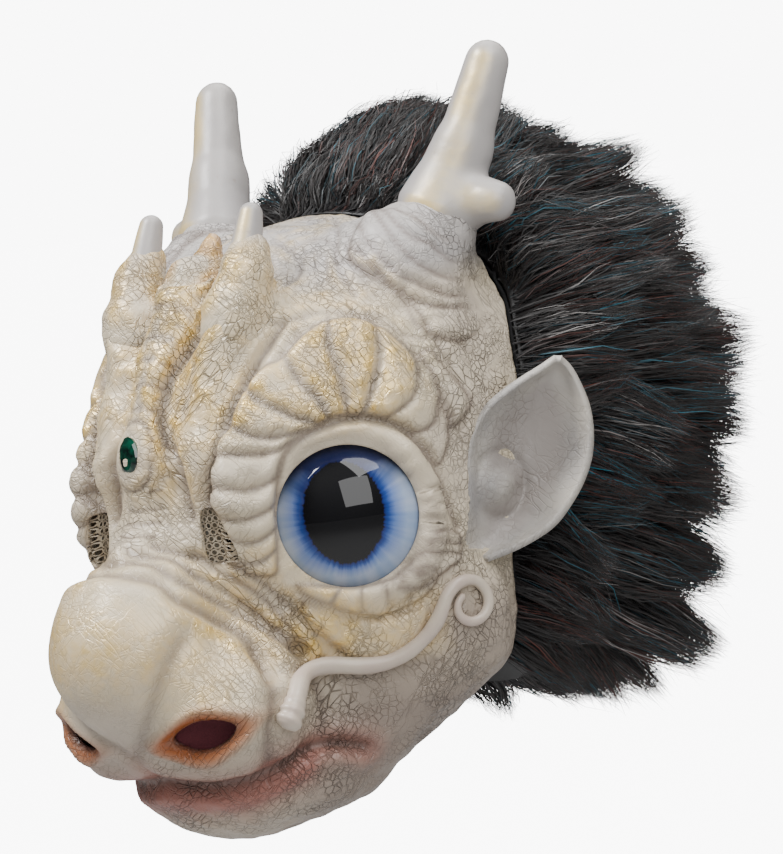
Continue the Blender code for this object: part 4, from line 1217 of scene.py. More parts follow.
def on_both_sides(name, points, faces, material, slot, **values):
    """A left and a right piece of one shape, the right one with its faces turned so
    that they still point outwards. Each replaces the solid of its own name."""
    faces = faces if isinstance(faces, list) else np.asarray(faces).tolist()
    pieces = []
    for side, turn in (("left", 1), ("right", -1)):
        laid = points.reshape(-1, 3) * (turn, 1, 1)
        turned = faces if turn > 0 else [face[::-1] for face in faces]
        piece = new_piece(f"{name}_{side}_dressed", laid, turned, material, slot, **values)
        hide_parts(f"{name}_{side}")
        pieces.append(piece)
    return pieces


def horn_material():
    """Smooth pale grey paint with soft clouds, a gold pearl streak that is also a painted
    highlight, and a few pits.
    """
    material, tree, shader = new_material("horn_latex")
    place = node(tree, "TexCoord").outputs["Object"]
    clouds = noise(tree, place, 25.0, 4.0)
    fine = noise(tree, place, 260.0, 3.0)
    streak = layer(tree, "gold")
    colour = mixed(tree, ramp(tree, clouds, 0.3, 0.7), rgb(178, 173, 168), rgb(156, 152, 152))
    gold = math(tree, "MULTIPLY", streak, ramp(tree, fine, 0.3, 0.6, 0.7, 1.0))
    colour = mixed(tree, gold, colour, rgb(226, 202, 146))
    pits = ramp(tree, fine, 0.26, 0.32, 1.0, 0.0)
    colour = mixed(tree, math(tree, "MULTIPLY", pits, 0.3), colour, rgb(140, 124, 104))
    feed(tree, shader, {
        "Base Color": colour, "Roughness": ramp(tree, clouds, 0.3, 0.7, 0.36, 0.46),
        "Metallic": math(tree, "MULTIPLY", gold, 0.3), "Coat Weight": 0.15,
        "Coat Roughness": 0.3, "Normal": bumped(tree, fine, 0.25, 0.0006),
    })
    return material


def make_horns():
    """Each horn and spike, with slow dents as hand modelling leaves them."""
    material = horn_material()
    for name, line, forms, rings, spokes, reach in (
        ("horn", HORN_LINE, HORN_FORMS, 60, 72, 60 * MM),
        ("brow_spike", SPIKE_LINE, SPIKE_FORMS, 36, 48, 30 * MM),
    ):
        points, ring_count = standing_surface(line, forms, rings, spokes, reach)
        _, square = slope(points, forms)
        square = unit(square)
        dents = waves(points / MM, 21, 26) * 0.22 + waves(points / MM, 22, 9) * 0.04
        # The streak: gold pearl paint and a painted highlight, on the side that faces forward.
        gold = np.exp(-(((square @ unit(np.array((0.35, -0.93, 0.1)))) - 1) / 0.16) ** 2)
        gold = gold * (0.7 + 0.3 * waves(points / MM, 23, 30))
        points = points + (dents * MM)[:, None] * square
        faces = ringed_faces(ring_count, spokes)
        on_both_sides(name, points, faces, material, "horn_latex", gold=np.clip(gold, 0, 1))


make_horns()


# The feet of the spikes and the pointed scale between them: more of the cast skin,
# wrinkled and gold, its gold partly a painted highlight, drawn up from the brow ridges
# and the middle plates.
FOOT_FORMS = RELIEF_FORMS + (
    Form("foot", "limb", (33, -64, -30), (34.2, -57, -15), (11.6, 9.4), 8),
    Form("neck", "limb", (34.2, -57, -15), (33.0, -51, -6), (9.8, 7.4), 6),
)
FOOT_LINE = ((32.5, -65, -32), (33.0, -53, -9))
SCALE_FORMS = RELIEF_FORMS + (
    Form("scale", "limb", (0, -50, -20), (0, -41, 0), (12.5, 2.6), 5),
)
SCALE_LINE = ((0, -55, -26), (0, -44, -6))
FOOT_REACH = 18 * MM


def make_feet():
    """Rays from the middle line end where they first leave the skin's form with the
    foot melted into it, or inside the skin, where the cast shell hides them."""
    for name, line, forms, rings, spokes in (
        ("spike_foot", FOOT_LINE, FOOT_FORMS, 24, 56),
        ("brow_scale", SCALE_LINE, SCALE_FORMS, 20, 48),
    ):
        points, ring_count = standing_surface(line, forms, rings, spokes, FOOT_REACH, nearest_exit)
        _, square = slope(points, forms)
        square = unit(square)
        at = points / MM
        rough = waves(at, 3, 26) * 0.5 + waves(at, 4, 9, 14) * 0.22 + waves(at, 6, 5, 14) * 0.15
        cover = np.clip(distance(points, RELIEF_FORMS) / MM / 2.5, 0, 1)
        points = points + ((0.15 + 0.5 * cover + rough * 0.8) * MM)[:, None] * square
        inside = eased(at[:, 0], 45, 32)
        # Gold paint, and a painted highlight where the foot stands proud of the skin.
        gold = np.clip((0.25 + 0.4 * waves(at, 11, 20)) * inside + 0.35 * cover, 0, 1)
        none = np.zeros(len(points))
        values = dict.fromkeys(("shade", "pink", "orange", "hollow", "groove_shade"), none)
        values.update(gold=gold, grey=0.6 * eased(at[:, 2], -10, 2),
                      wrinkle=0.9 * eased(at[:, 2], 3, -8))
        faces = ringed_faces(ring_count, spokes)
        if name == "brow_scale":
            values["orange"] = 0.35 * gold
            new_piece(name, points, faces, SKIN_PAINT, "latex_skin", **values)
            continue
        for side, turn in (("left", 1), ("right", -1)):
            turned = faces if turn > 0 else [face[::-1] for face in faces]
            laid = points * (turn, 1, 1)
            new_piece(f"{name}_{side}", laid, turned, SKIN_PAINT, "latex_skin", **values)


make_feet()


# The ears: a cupped leaf of thin cast latex with a rolled rim, a round lobe at the
# bottom of the cup and soft ribs that fan from it, glued to the side of the head. The
# outside is grey, the cup darker and browner.
EAR_WALL = 3.0 * MM
EAR_COLUMNS = 64
EAR_ROWS_BETWEEN = 8


def ear_surface():
    """The cup: at each height a row runs from the front rim to the back rim, sagging
    between them by the cup's depth times one minus the square of the place across.
    The rims swell forward, and the lobe and the ribs stand in the cup."""
    sections = np.array(EAR_SECTIONS, float)
    first, last = 2 * sections[0] - sections[1], 2 * sections[-1] - sections[-2]
    rows = rounded(np.vstack([first, sections, last]), EAR_ROWS_BETWEEN)
    height, front, back, cup, forward = (column[:, None] for column in rows.T)
    place = np.linspace(-1, 1, EAR_COLUMNS + 1)[None]
    sideways = (front + back) / 2 + place * (back - front) / 2
    sag = forward * (1 - place) / 2 - cup * (1 - place**2)
    width = back - front
    from_front, from_back = (1 + place) * width / 2, (1 - place) * width / 2
    rim = 2.6 * np.exp(-((from_front / 4.0) ** 2)) + 1.8 * np.exp(-((from_back / 3.0) ** 2))
    lobe = 6.5 * np.exp(-(((sideways - 6) / 6.5) ** 2 + ((height + 3) / 8.5) ** 2) ** 1.4)
    angle = np.arctan2(height + 22, sideways + 4)
    reach = np.hypot(height + 22, sideways + 4)
    ribs = 0.9 * np.cos(angle * 13 + 0.5) * eased(reach, 14, 30) * eased(reach, 75, 48)
    crease = -2.0 * np.exp(-(((np.hypot(sideways - 6, (height + 3) * 0.8) - 11.5) / 2.0) ** 2))
    sag = sag + rim + (lobe + ribs + crease) * eased(from_front, 1, 5) * eased(from_back, 1, 5)
    across, up, facing = ear_axes()
    height = np.broadcast_to(height, sideways.shape)
    place = EAR_ROOT + MM * (
        sideways[..., None] * across + height[..., None] * up + sag[..., None] * facing
    )
    hollow = eased(np.minimum(from_front, from_back), 3, 14) - 0.8 * eased(lobe, 1, 5)
    return place, np.clip(hollow, 0, 1)


def outward(grid):
    """Directions square to a grid, from the differences of its neighbours."""
    return unit(np.cross(np.gradient(grid, axis=1), np.gradient(grid, axis=0)))


def two_walls(outer, inner):
    """The points and faces of a wall between two grids of equal size, closed all
    round its edge."""
    rows, columns = outer.shape[:2]
    first = rows * columns
    points = np.concatenate([outer.reshape(-1, 3), inner.reshape(-1, 3)])
    front = grid_quads(rows, columns)
    back = grid_quads(rows, columns, first)[:, ::-1]
    edge = open_edges(front)
    walls = np.stack([edge[:, 1], edge[:, 0], edge[:, 0] + first, edge[:, 1] + first], axis=-1)
    return points, np.concatenate([front, back, walls])


def ear_material():
    """Grey-beige latex, brown in the cup, with fine cracks along the leaf."""
    material, tree, shader = new_material("ear_latex")
    place = node(tree, "TexCoord").outputs["Object"]
    cracked = node(tree, "Group", {"Scale": 0.9}, node_tree=CRACKLE)
    clouds = noise(tree, place, 30.0, 4.0)
    hollow = layer(tree, "hollow")
    colour = mixed(tree, ramp(tree, clouds, 0.35, 0.65), rgb(184, 178, 168), rgb(150, 147, 146))
    colour = mixed(tree, hollow, colour, rgb(150, 143, 138))
    lines = math(tree, "MULTIPLY", cracked.outputs["Cracks"], 0.3)
    colour = mixed(tree, lines, colour, rgb(104, 92, 80))
    feed(tree, shader, {
        "Base Color": colour, "Roughness": ramp(tree, clouds, 0.3, 0.7, 0.42, 0.52),
        "Coat Weight": 0.12, "Coat Roughness": 0.35,
        "Normal": bumped(tree, cracked.outputs["Height"], 0.35, 0.0009),
    })
    return material


def make_ears():
    """Each ear: its cup, and its outside one wall behind it."""
    cup, hollow = ear_surface()
    points, faces = two_walls(cup, cup - EAR_WALL * outward(cup))
    values = np.concatenate([hollow.ravel(), np.zeros(hollow.size)])
    on_both_sides("ear", points, faces, ear_material(), "ear_latex", hollow=values)


make_ears()


# The whiskers: soft latex rods, cast apart and glued into a collar beside the nostril
# and down on the cheek, each with a flat curl at its end.
WHISKER_RUN = (
    Place(66, -100, -204),
    Place(66, -96, -192),
    Place(60, -84, -183),
    Place(55, -71, -181),
    Place(60, -61, -184),
    Place(67, -53, -188),
    Place(74, -44, -190),
    Place(81, -36, -186),
    Place(86, -32, -177),
)
WHISKER_CURL_CENTRE = Place(96, -14, -168)
WHISKER_CURL_RADII = (13.5, 5.0)
WHISKER_CURL_TURNS = 1.25
WHISKER_CURL_START = 200.0
WHISKER_RADII = (4.4, 3.1, 1.7)
WHISKER_LIFT = 0.7
WHISKER_COLLAR = ((2.5, 1.8, 1.6), (7.0, 1.6, 1.2), (10.5, 1.2, 0.5))
WHISKER_RINGS = 220
WHISKER_SIDES = 18


def whisker_line():
    """The whisker's middle line: a smooth curve through its run over the cheek, then
    a curl whose radius shrinks evenly, all of it drawn in to lie on the skin."""
    run = np.array(WHISKER_RUN, float) * MM
    turn = np.linspace(0, 1, 26)
    angle = np.radians(WHISKER_CURL_START - 360 * WHISKER_CURL_TURNS * turn)
    wide, narrow = WHISKER_CURL_RADII
    radius = (wide + (narrow - wide) * turn) * MM
    curl = np.array(WHISKER_CURL_CENTRE, float) * MM
    curl = curl + (radius * np.cos(angle))[:, None] * unit(np.array((0.25, 0.97, 0.0)))
    curl[:, 2] += radius * np.sin(angle)
    route = np.concatenate([run, curl])
    for _ in range(3):
        route[1:-1] = (route[:-2] + 2 * route[1:-1] + route[2:]) / 4
    first, last = 2 * route[0] - route[1], 2 * route[-1] - route[-2]
    route = rounded(np.vstack([first, route, last]), 12)
    lengths = np.linalg.norm(np.diff(route, axis=0), axis=1)
    along = np.concatenate([[0], np.cumsum(lengths)])
    even = np.linspace(0, along[-1], WHISKER_RINGS)
    path = np.stack([np.interp(even, along, axis) for axis in route.T], axis=-1)
    radii = np.interp(even / even[-1], (0, 0.6, 1), WHISKER_RADII) * MM
    for _ in range(6):
        value, gradient = slope(path, RELIEF_FORMS)
        drift = (value - WHISKER_LIFT * radii)[:, None] * gradient
        path = path - drift / (gradient**2).sum(-1, keepdims=True)
    for _ in range(8):
        path[1:-1] = (path[:-2] + 2 * path[1:-1] + path[2:]) / 4
    return path, radii, even


def carried_rings(path, radii, sides):
    """A round rod along a path, with a ring square to the path at each point and a
    point at each end."""
    tangent = unit(np.gradient(path, axis=0))
    level = unit(np.cross(tangent, (0.3, -0.9, 0.3)))
    other = np.cross(tangent, level)
    angle = np.arange(sides) * 2 * np.pi / sides
    about = np.cos(angle)[None, :, None] * level[:, None]
    about = about + np.sin(angle)[None, :, None] * other[:, None]
    rings = path[:, None] + radii[:, None, None] * about
    tips = [path[0] - tangent[0] * radii[0] * 0.3, path[-1] + tangent[-1] * radii[-1] * 0.3]
    return np.concatenate([rings.reshape(-1, 3), tips])


def make_whiskers():
    """The rod, rounded off at its tip, with a double collar where it leaves the skin
    and slow swellings along it."""
    path, radii, along = whisker_line()
    reach = along[-1] - along
    radii = radii * np.sqrt(1 - (1 - np.clip(reach / (2.0 * MM), 0, 1)) ** 2 * 0.98)
    radii = radii * (1 + 0.05 * np.sin(along / MM / 7.0) + 0.03 * np.sin(along / MM / 2.9))
    for at, wide, swell in WHISKER_COLLAR:
        radii = radii + swell * MM * np.exp(-(((along / MM - at) / wide) ** 2))
    points = carried_rings(path, radii, WHISKER_SIDES)
    faces = ringed_faces(WHISKER_RINGS, WHISKER_SIDES)
    on_both_sides("whisker", points, faces, whisker_material(), "whisker_latex")


def whisker_material():
    """Pale beige paint, a little pink in its clouds, with a satin skin."""
    material, tree, shader = new_material("whisker_latex")
    place = node(tree, "TexCoord").outputs["Object"]
    clouds = noise(tree, place, 70.0, 3.0)
    fine = noise(tree, place, 500.0, 2.0)
    colour = mixed(tree, ramp(tree, clouds, 0.3, 0.7), rgb(198, 186, 168), rgb(184, 166, 154))
    feed(tree, shader, {
        "Base Color": colour, "Roughness": ramp(tree, clouds, 0.3, 0.7, 0.34, 0.44),
        "Coat Weight": 0.25, "Coat Roughness": 0.25,
        "Normal": bumped(tree, fine, 0.2, 0.0004),
    })
    return material


make_whiskers()


# The eyes: stock domed craft eyes of clear plastic over a printed iris, 62 mm across.
# The pupil is a tall black oval, the iris pale below and at the nose, deep blue at
# the outside and navy above, with a fringe round the pupil, and a painted shadow of
# the lid darkens the iris's edge. The lid holds each one.
EYE_RIM_RADIUS = 31.0 * MM
EYE_DOME_RADIUS = 40.5 * MM
EYE_DOME_RISE = 11.0 * MM
EYE_BACK_DEPTH = 8.5 * MM
EYE_SPOKES = 96
PUPIL_HALF = (17.0, 21.6)
PUPIL_SHIFT = (-1.4, 1.8)


def turned_rings(profile, centre, out, spokes, across_by_up=(1.0, 1.0)):
    """A profile of (radius, height) rows turned about a direction, closed by a point
    at each end."""
    across, up, out = square_to(out)
    angle = np.arange(spokes) * 2 * np.pi / spokes
    about = np.cos(angle)[:, None] * across * across_by_up[0]
    about = about + np.sin(angle)[:, None] * up * across_by_up[1]
    profile = np.array(profile, float)
    rings = centre + profile[:, 0, None, None] * about + profile[:, 1, None, None] * out
    tips = centre + profile[[0, -1], 1, None] * out
    return np.concatenate([rings.reshape(-1, 3), tips])


def eye_material():
    """The iris as the dome shows it, read from each point's place across and up the
    eye: the share of the way from the pupil's edge outwards picks the ring, and a
    noise on the direction alone frays it. A painted shadow of the lid darkens its
    edge. Over it lies the clear gloss."""
    material, tree, shader = new_material("eye_dome")
    across, up = layer(tree, "across"), layer(tree, "up")
    flat = node(tree, "CombineXYZ", {"X": across, "Y": up}).outputs[0]
    ray = node(tree, "VectorMath", {0: flat}, operation="NORMALIZE").outputs[0]
    fringe = noise(tree, ray, 16.0, 4.0)
    broad = noise(tree, ray, 3.0, 2.0)
    share = layer(tree, "from_pupil")
    frayed = math(tree, "ADD", share, math(tree, "MULTIPLY",
                                           math(tree, "SUBTRACT", fringe, 0.5), 0.16))
    side = ramp(tree, math(tree, "ABSOLUTE", across), 10.0, 20.0)
    pale = mixed(tree, ramp(tree, broad, 0.35, 0.65), rgb(176, 188, 210), rgb(140, 162, 196))
    reach = ramp(tree, side, 0.0, 1.0, 1.25, 1.5)
    fade = math(tree, "DIVIDE", math(tree, "SUBTRACT", frayed, 1.0),
                math(tree, "SUBTRACT", reach, 1.0))
    vivid = ramp(tree, fade, 0.25, 1.15, 1.0, 0.0)
    colour = mixed(tree, vivid, pale, rgb(44, 88, 168))
    ink = ramp(tree, fade, 0.0, 0.55, 0.95, 0.0)
    colour = mixed(tree, ink, colour, rgb(16, 22, 84))
    dusk = math(tree, "ADD", up, math(tree, "MULTIPLY", math(tree, "SUBTRACT", broad, 0.5), 8.0))
    navy = math(tree, "MULTIPLY", ramp(tree, dusk, 8.0, 22.0), 0.96)
    colour = mixed(tree, navy, colour, rgb(8, 18, 64))
    # Painted shadow of the lid, darkening the iris round the dome's edge.
    rim = ramp(tree, layer(tree, "from_centre"), 0.95, 1.0)
    colour = mixed(tree, math(tree, "MULTIPLY", rim, 0.7), colour, rgb(14, 26, 66))
    black = ramp(tree, frayed, 0.985, 1.02, 1.0, 0.0)
    colour = mixed(tree, black, colour, rgb(6, 6, 9))
    feed(tree, shader, {
        "Base Color": colour, "Roughness": 0.6, "Specular IOR Level": 0.1,
        "Coat Weight": 0.8, "Coat Roughness": 0.01, "Coat IOR": 1.5,
    })
    return material


def make_eyes():
    """Each eye: a dome of a sphere on a short cylinder that the lid holds."""
    middle = EYE_DOME_RISE - EYE_DOME_RADIUS
    widest = np.arcsin(EYE_RIM_RADIUS / EYE_DOME_RADIUS)
    profile = [(EYE_RIM_RADIUS * 0.9, -EYE_BACK_DEPTH), (EYE_RIM_RADIUS, -EYE_BACK_DEPTH)]
    profile += [(EYE_RIM_RADIUS, middle + EYE_DOME_RADIUS * np.cos(widest))]
    for lean in np.linspace(widest * 0.985, 0.03, 32):
        profile.append((EYE_DOME_RADIUS * np.sin(lean), middle + EYE_DOME_RADIUS * np.cos(lean)))
    points = turned_rings(profile, EYE_CENTRE, EYE_OUT, EYE_SPOKES)
    points[-1] += unit(EYE_OUT) * 0.02 * MM
    beside = in_frame(points, EYE_CENTRE, EYE_OUT) / MM
    across, up = beside[:, 0], beside[:, 1]
    shares = (across - PUPIL_SHIFT[0]) / PUPIL_HALF[0], (up - PUPIL_SHIFT[1]) / PUPIL_HALF[1]
    on_both_sides(
        "eye", points, ringed_faces(len(profile), EYE_SPOKES), eye_material(), "eye_dome",
        across=across, up=up, from_pupil=np.hypot(*shares),
        from_centre=np.hypot(across, up) / (EYE_RIM_RADIUS / MM),
    )


make_eyes()


# The stone in the brow: a cut oval of deep green acrylic, 12 by 18 mm, its girdle sunk
# in the skin. Two rows of facets rise to a flat table.
GEM_CENTRE = np.array((0.0, -107.2, -86.0)) * MM
GEM_OUT = np.array((0.0, -0.996, 0.085))
GEM_HALF = (6.0 * MM, 9.0 * MM)
GEM_SINK = 2.6 * MM
GEM_SIDES = 16
GEM_PROFILE = ((0.9, -GEM_SINK), (1.0, 0.0), (1.0, 0.5 * MM), (0.86, 1.5 * MM), (0.6, 2.4 * MM),
               (0.2, 2.4 * MM))


def make_gem():
    """The profile turned about the stone's axis as an oval, with flat facets."""
    points = turned_rings(GEM_PROFILE, GEM_CENTRE, GEM_OUT, GEM_SIDES, GEM_HALF)
    material, tree, shader = new_material("gem_stone")
    place = node(tree, "TexCoord").outputs["Object"]
    depth = noise(tree, place, 180.0, 2.0)
    colour = mixed(tree, ramp(tree, depth, 0.4, 0.62), rgb(1, 14, 12), rgb(3, 66, 48))
    feed(tree, shader, {
        "Base Color": colour, "Roughness": 0.06, "Coat Weight": 1.0, "Coat Roughness": 0.02,
    })
    gem = new_piece("cut_stone", points, ringed_faces(len(GEM_PROFILE), GEM_SIDES), material,
                    "gem_stone", smooth=False)
    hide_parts("forehead_gem")


make_gem()


# The window nets, through which the wearer looks: thin pierced metal painted
# grey-brown, bent to the skin just behind its slot, with rows of upright oval holes.
WINDOW_HALF = (6.9 * MM, 11.5 * MM)
NET_COLUMNS = 5
NET_ROWS = 8
NET_DEPTHS = (-1.2 * MM, -2.0 * MM)
NET_REACH = 1.9
HOLE_HALF = (0.31, 0.37)
HOLE_CORNERS = 8


def window_place(flat, depth):
    """Points given across and up the window, from -1 to 1. Its outline is narrow at the
    top, wide at the bottom, and shears towards the eye as it falls."""
    window = OPENINGS[2]
    across, up, out = square_to(window.out)
    width = WINDOW_HALF[0] * (1 - 0.28 * flat[..., 1:])
    sideways = flat[..., :1] * width - 0.35 * flat[..., 1:] * WINDOW_HALF[0]
    height = flat[..., 1:] * WINDOW_HALF[1]
    return window.centre + sideways * across + height * up + depth * out


def make_windows():
    """Each cell of the net is a square ring about an oval: eight quads on its front,
    eight on its back, and eight for the wall of its hole. Both faces are settled on to
    the skin's form, one a little deeper than the other."""
    angle = (np.arange(HOLE_CORNERS) + 0.5) * 2 * np.pi / HOLE_CORNERS
    ray = np.stack([np.cos(angle), np.sin(angle)], axis=-1)
    square = 0.5 * ray / np.abs(ray).max(axis=1, keepdims=True)
    ring = np.concatenate([square, ray * HOLE_HALF]) + 0.5
    column, row = np.meshgrid(np.arange(-1, NET_COLUMNS + 4), np.arange(NET_ROWS))
    corner = np.stack([column + 0.5 * (row % 2), row], axis=-1).reshape(-1, 1, 2)
    flat = (corner + ring) / (NET_COLUMNS, NET_ROWS) * 2 - 1
    flat = np.clip(flat, (-1.12, -1.0), (NET_REACH, 1.0))
    layers = [settle(window_place(flat, 0), RELIEF_FORMS, depth) for depth in NET_DEPTHS]
    points = np.concatenate(layers, axis=1)
    k = np.arange(HOLE_CORNERS)
    following = (k + 1) % HOLE_CORNERS
    hole, back, back_hole = k + HOLE_CORNERS, k + 2 * HOLE_CORNERS, k + 3 * HOLE_CORNERS
    quads = np.concatenate([
        np.stack([k, following, following + HOLE_CORNERS, hole], axis=-1),
        np.stack([back_hole, following + 3 * HOLE_CORNERS, following + 2 * HOLE_CORNERS, back],
                 axis=-1),
        np.stack([hole, following + HOLE_CORNERS, following + 3 * HOLE_CORNERS, back_hole],
                 axis=-1),
    ])
    first = np.arange(len(corner))[:, None, None] * points.shape[1]
    faces = (quads[None] + first).reshape(-1, 4)
    material, tree, shader = new_material("window_net")
    place = node(tree, "TexCoord").outputs["Object"]
    wear = noise(tree, place, 300.0, 3.0)
    colour = mixed(tree, ramp(tree, wear, 0.4, 0.6), rgb(150, 136, 116), rgb(176, 164, 144))
    feed(tree, shader, {"Base Color": colour, "Roughness": 0.55, "Metallic": 0.3})
    on_both_sides("window_mesh", points.reshape(-1, 3), faces, material, "window_net",
                  smooth=False)


make_windows()


# The nostril cloths: a scrap of maroon cloth glued behind each nostril. It sags
# inwards a little.
CLOTH_HALF = (20.0 * MM, 12.0 * MM)
CLOTH_DEPTH = 7.5 * MM
CLOTH_SAG = 2.5 * MM
CLOTH_THICKNESS = 0.8 * MM
CLOTH_CELLS = 24


def make_nostril_cloths():
    """A round cloth in the nostril's plane, which hangs inwards by a shallow bowl:
    its sag times one minus the square of the radius."""
    nostril = OPENINGS[1]
    radius, turn = round_square(CLOTH_CELLS)
    angle = turn * 2 * np.pi
    across, up, out = square_to(nostril.out)
    bowl = -CLOTH_DEPTH - CLOTH_SAG * (1 - radius**2)
    grid = (
        nostril.centre
        + (radius * np.sin(angle) * CLOTH_HALF[0])[..., None] * across
        + (radius * np.cos(angle) * CLOTH_HALF[1])[..., None] * up
        + bowl[..., None] * out
    )
    points, faces = two_walls(grid, grid - CLOTH_THICKNESS * out)
    material, tree, shader = new_material("nostril_cloth")
    place = node(tree, "TexCoord").outputs["Object"]
    weave = noise(tree, place, 1500.0, 1.0)
    colour = mixed(tree, weave, rgb(84, 34, 42), rgb(104, 46, 54))
    feed(tree, shader, {
        "Base Color": colour, "Roughness": 0.9, "Normal": bumped(tree, weave, 0.3, 0.0003),
    })
    on_both_sides("nostril_cloth", points, faces, material, "nostril_cloth")


make_nostril_cloths()


# The hood: a cap of thin black stretch cloth, sewn to the skin's rear edge. It closes
# the crown and the back of the head, is open at the neck, and carries the fur.
HOOD_WALL = 2.0 * MM
HOOD_HEART = np.array((0.0, 35.0, -100.0)) * MM
SEAM_SETBACK = 0.5
HOOD_CELLS = 16
HOOD_DRIFTS = 3
NAPE = (
    Place(73, 36, -199),
    Place(58, 56, -196),
    Place(32, 72, -192),
    Place(0, 78, -190),
)


def hood_surface():
    """The cloth's outer face: a patch laid on the skull from behind, halved twice,
    with its columns turned round so that its faces point outwards."""
    edge = np.array(SKIN_TO_HOOD + NAPE, float)
    edge[:, 1] += SEAM_SETBACK
    grid = laid_patch(edge, (0, 1, -0.1), HOOD_HEART, SKULL_FORMS, HOOD_CELLS, HOOD_DRIFTS)
    return halved(grid, 2)[:, ::-1]


def cloth_material():
    """Black cloth with a fine knit."""
    material, tree, shader = new_material("hood_cloth")
    place = node(tree, "TexCoord").outputs["Object"]
    knit = noise(tree, place, 1400.0, 1.0)
    colour = mixed(tree, knit, rgb(6, 6, 7), rgb(14, 13, 15))
    feed(tree, shader, {
        "Base Color": colour, "Roughness": 0.9, "Normal": bumped(tree, knit, 0.3, 0.0003),
    })
    return material


def make_hood():
    """The cloth with soft pulls towards its seam, and its inside face."""
    outer = hood_surface()
    pulls = waves(outer / MM, 31, 30) * 0.3 * MM
    away = outward(outer)
    points, faces = two_walls(outer - (0.3 * MM + pulls)[..., None] * away,
                              outer - HOOD_WALL * away)
    hood = new_piece("cloth_hood", points, faces, cloth_material(), "hood_cloth")
    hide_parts("hood")
    return outer


hood_grid = make_hood()


# The mane: long-pile fake fur glued over the hood, combed straight back and hanging
# at the sides. Its strands gather in tufts, and the tufts in pointed locks. Most are
# black and charcoal, with silver, teal and red-brown ones among them.
MANE_FORMS = (
    Form("crest", "ball", (0, 78, -62), None, (101, 104, 116), 0),
    Form("back", "ball", (0, 96, -92), None, (104, 96, 94), 30),
    Form("nape", "ball", (0, 104, -165), None, (88, 60, 66), 30),
)
MANE_LEAST = 4.0 * MM
MANE_RISE = 280.0 * MM
NAPE_TOP = -120.0 * MM
NAPE_RISE = 1.2
PILE_DEPTH = 10.0 * MM
PILE_LEAST = 1.6 * MM
PILE_BACK = 0.7 * MM

# A ring of long locks: how far round from straight back it lies, how many locks it has
# on each side, and how long they are.
LockRing = namedtuple("LockRing", "tilt count length")

LOCK_RINGS = (
    LockRing(9, 3, 44),
    LockRing(28, 5, 46),
    LockRing(47, 7, 48),
    LockRing(66, 8, 46),
)
LOCK_HEART = np.array((0.0, 70.0, -95.0)) * MM
LOCK_SWEEP = np.array((0.0, 0.9, 0.0))
LOCK_DROOP = 9.0 * MM
LOCK_SINK = 16.0 * MM
LOCK_TURNS = np.radians((-70.0, 56.0))
STRANDS = 66000
TUFTS = 3200
LOOSE_LOCKS = 260
STRAND_WIDTH = 0.5 * MM
STRAND_STEPS = np.array((0.0, 0.27, 0.54, 0.8, 1.0))
LOCK_STRAY = 0.14
LOCK_PULL = 0.88
LONG_LOCK_WIDTH = 1.7
TUFT_STRAY = 0.16
TUFT_PULL = 0.8
STRAND_STRAY = 0.2
STRAND_WANDER = 1.5 * MM
HEM_OVERLAP = 4.5 * MM
FUR_LENGTH = 56.0
LESS_ON_CROWN = 24.0
LESS_AT_HEM = 14.0
LESS_AT_NAPE = 28.0
LESS_BEHIND = 22.0
CROWN_SLOPE = 0.36


def fur_base():
    """The pile's two faces: the outer one lies a pile's depth inside the mane's full
    form, which thins to a hem at the hood's edge and hangs full at the nape."""
    rays = unit(hood_grid - HOOD_HEART)
    full = outermost(HOOD_HEART, rays, MANE_FORMS)
    depth = ((full - hood_grid) * rays).sum(-1)
    radius, _ = round_square(len(hood_grid) - 1)
    most = MANE_LEAST + MANE_RISE * (1 - radius)
    most = most + NAPE_RISE * np.maximum(NAPE_TOP - hood_grid[..., 2], 0)
    depth = np.clip(depth, MANE_LEAST, most)
    depth = np.maximum(depth - PILE_DEPTH, PILE_LEAST)
    away = outward(hood_grid)
    return hood_grid + depth[..., None] * rays, hood_grid + PILE_BACK * away


def scattered(grid, count, dice):
    """Random points of a grid's faces, even over their area, with their normals."""
    corners = [grid[:-1, :-1], grid[:-1, 1:], grid[1:, 1:], grid[1:, :-1]]
    a, b, c, d = (corner.reshape(-1, 3) for corner in corners)
    area = np.linalg.norm(np.cross(c - a, d - b), axis=-1)
    pick = dice.choice(len(a), count, p=area / area.sum())
    u, v = dice.random((2, count, 1))
    place = (a[pick] * (1 - u) + b[pick] * u) * (1 - v) + (d[pick] * (1 - u) + c[pick] * u) * v
    return place, unit(np.cross(c - a, d - b))[pick]


def combed(root, square, length, stray):
    """Strand paths: each starts between the fur's normal and its sweep towards the
    back, strays a little, and bends towards the sweep with the square of its length."""
    crown = eased(square[:, 2:], 0.3, 0.8)
    low = eased(root[:, 2:] / MM, -40, -200)
    sweep = np.concatenate([np.zeros_like(low), np.ones_like(low), 0.08 - 0.75 * low], axis=1)
    flat = sweep - 0.85 * (sweep * square).sum(-1, keepdims=True) * square
    hem = (1 - crown) * eased(root[:, 1:2] / MM, 66, 40)
    start = unit(flat * (1 - 0.55 * hem) + (0.62 - 0.36 * crown + 0.25 * hem) * square + stray)
    bend = unit(sweep) - start - (0.0, 0.0, 0.25) * (1 - crown)
    t = STRAND_STEPS[None, :, None]
    way = t * start[:, None] + 0.35 * t**2 * bend[:, None]
    return root[:, None] + length[:, None, None] * way


def nearest_of(points, centres, widths):
    """For each point the centre that is nearest, each distance being divided by the
    centre's width. Points go through a few thousand at a time."""
    found = []
    for some in np.array_split(points, len(points) // 4000 + 1):
        gap = (some**2).sum(-1)[:, None] + (centres**2).sum(-1) - 2 * some @ centres.T
        found.append(np.argmin(np.maximum(gap, 0) / widths**2, axis=1))
    return np.concatenate(found)


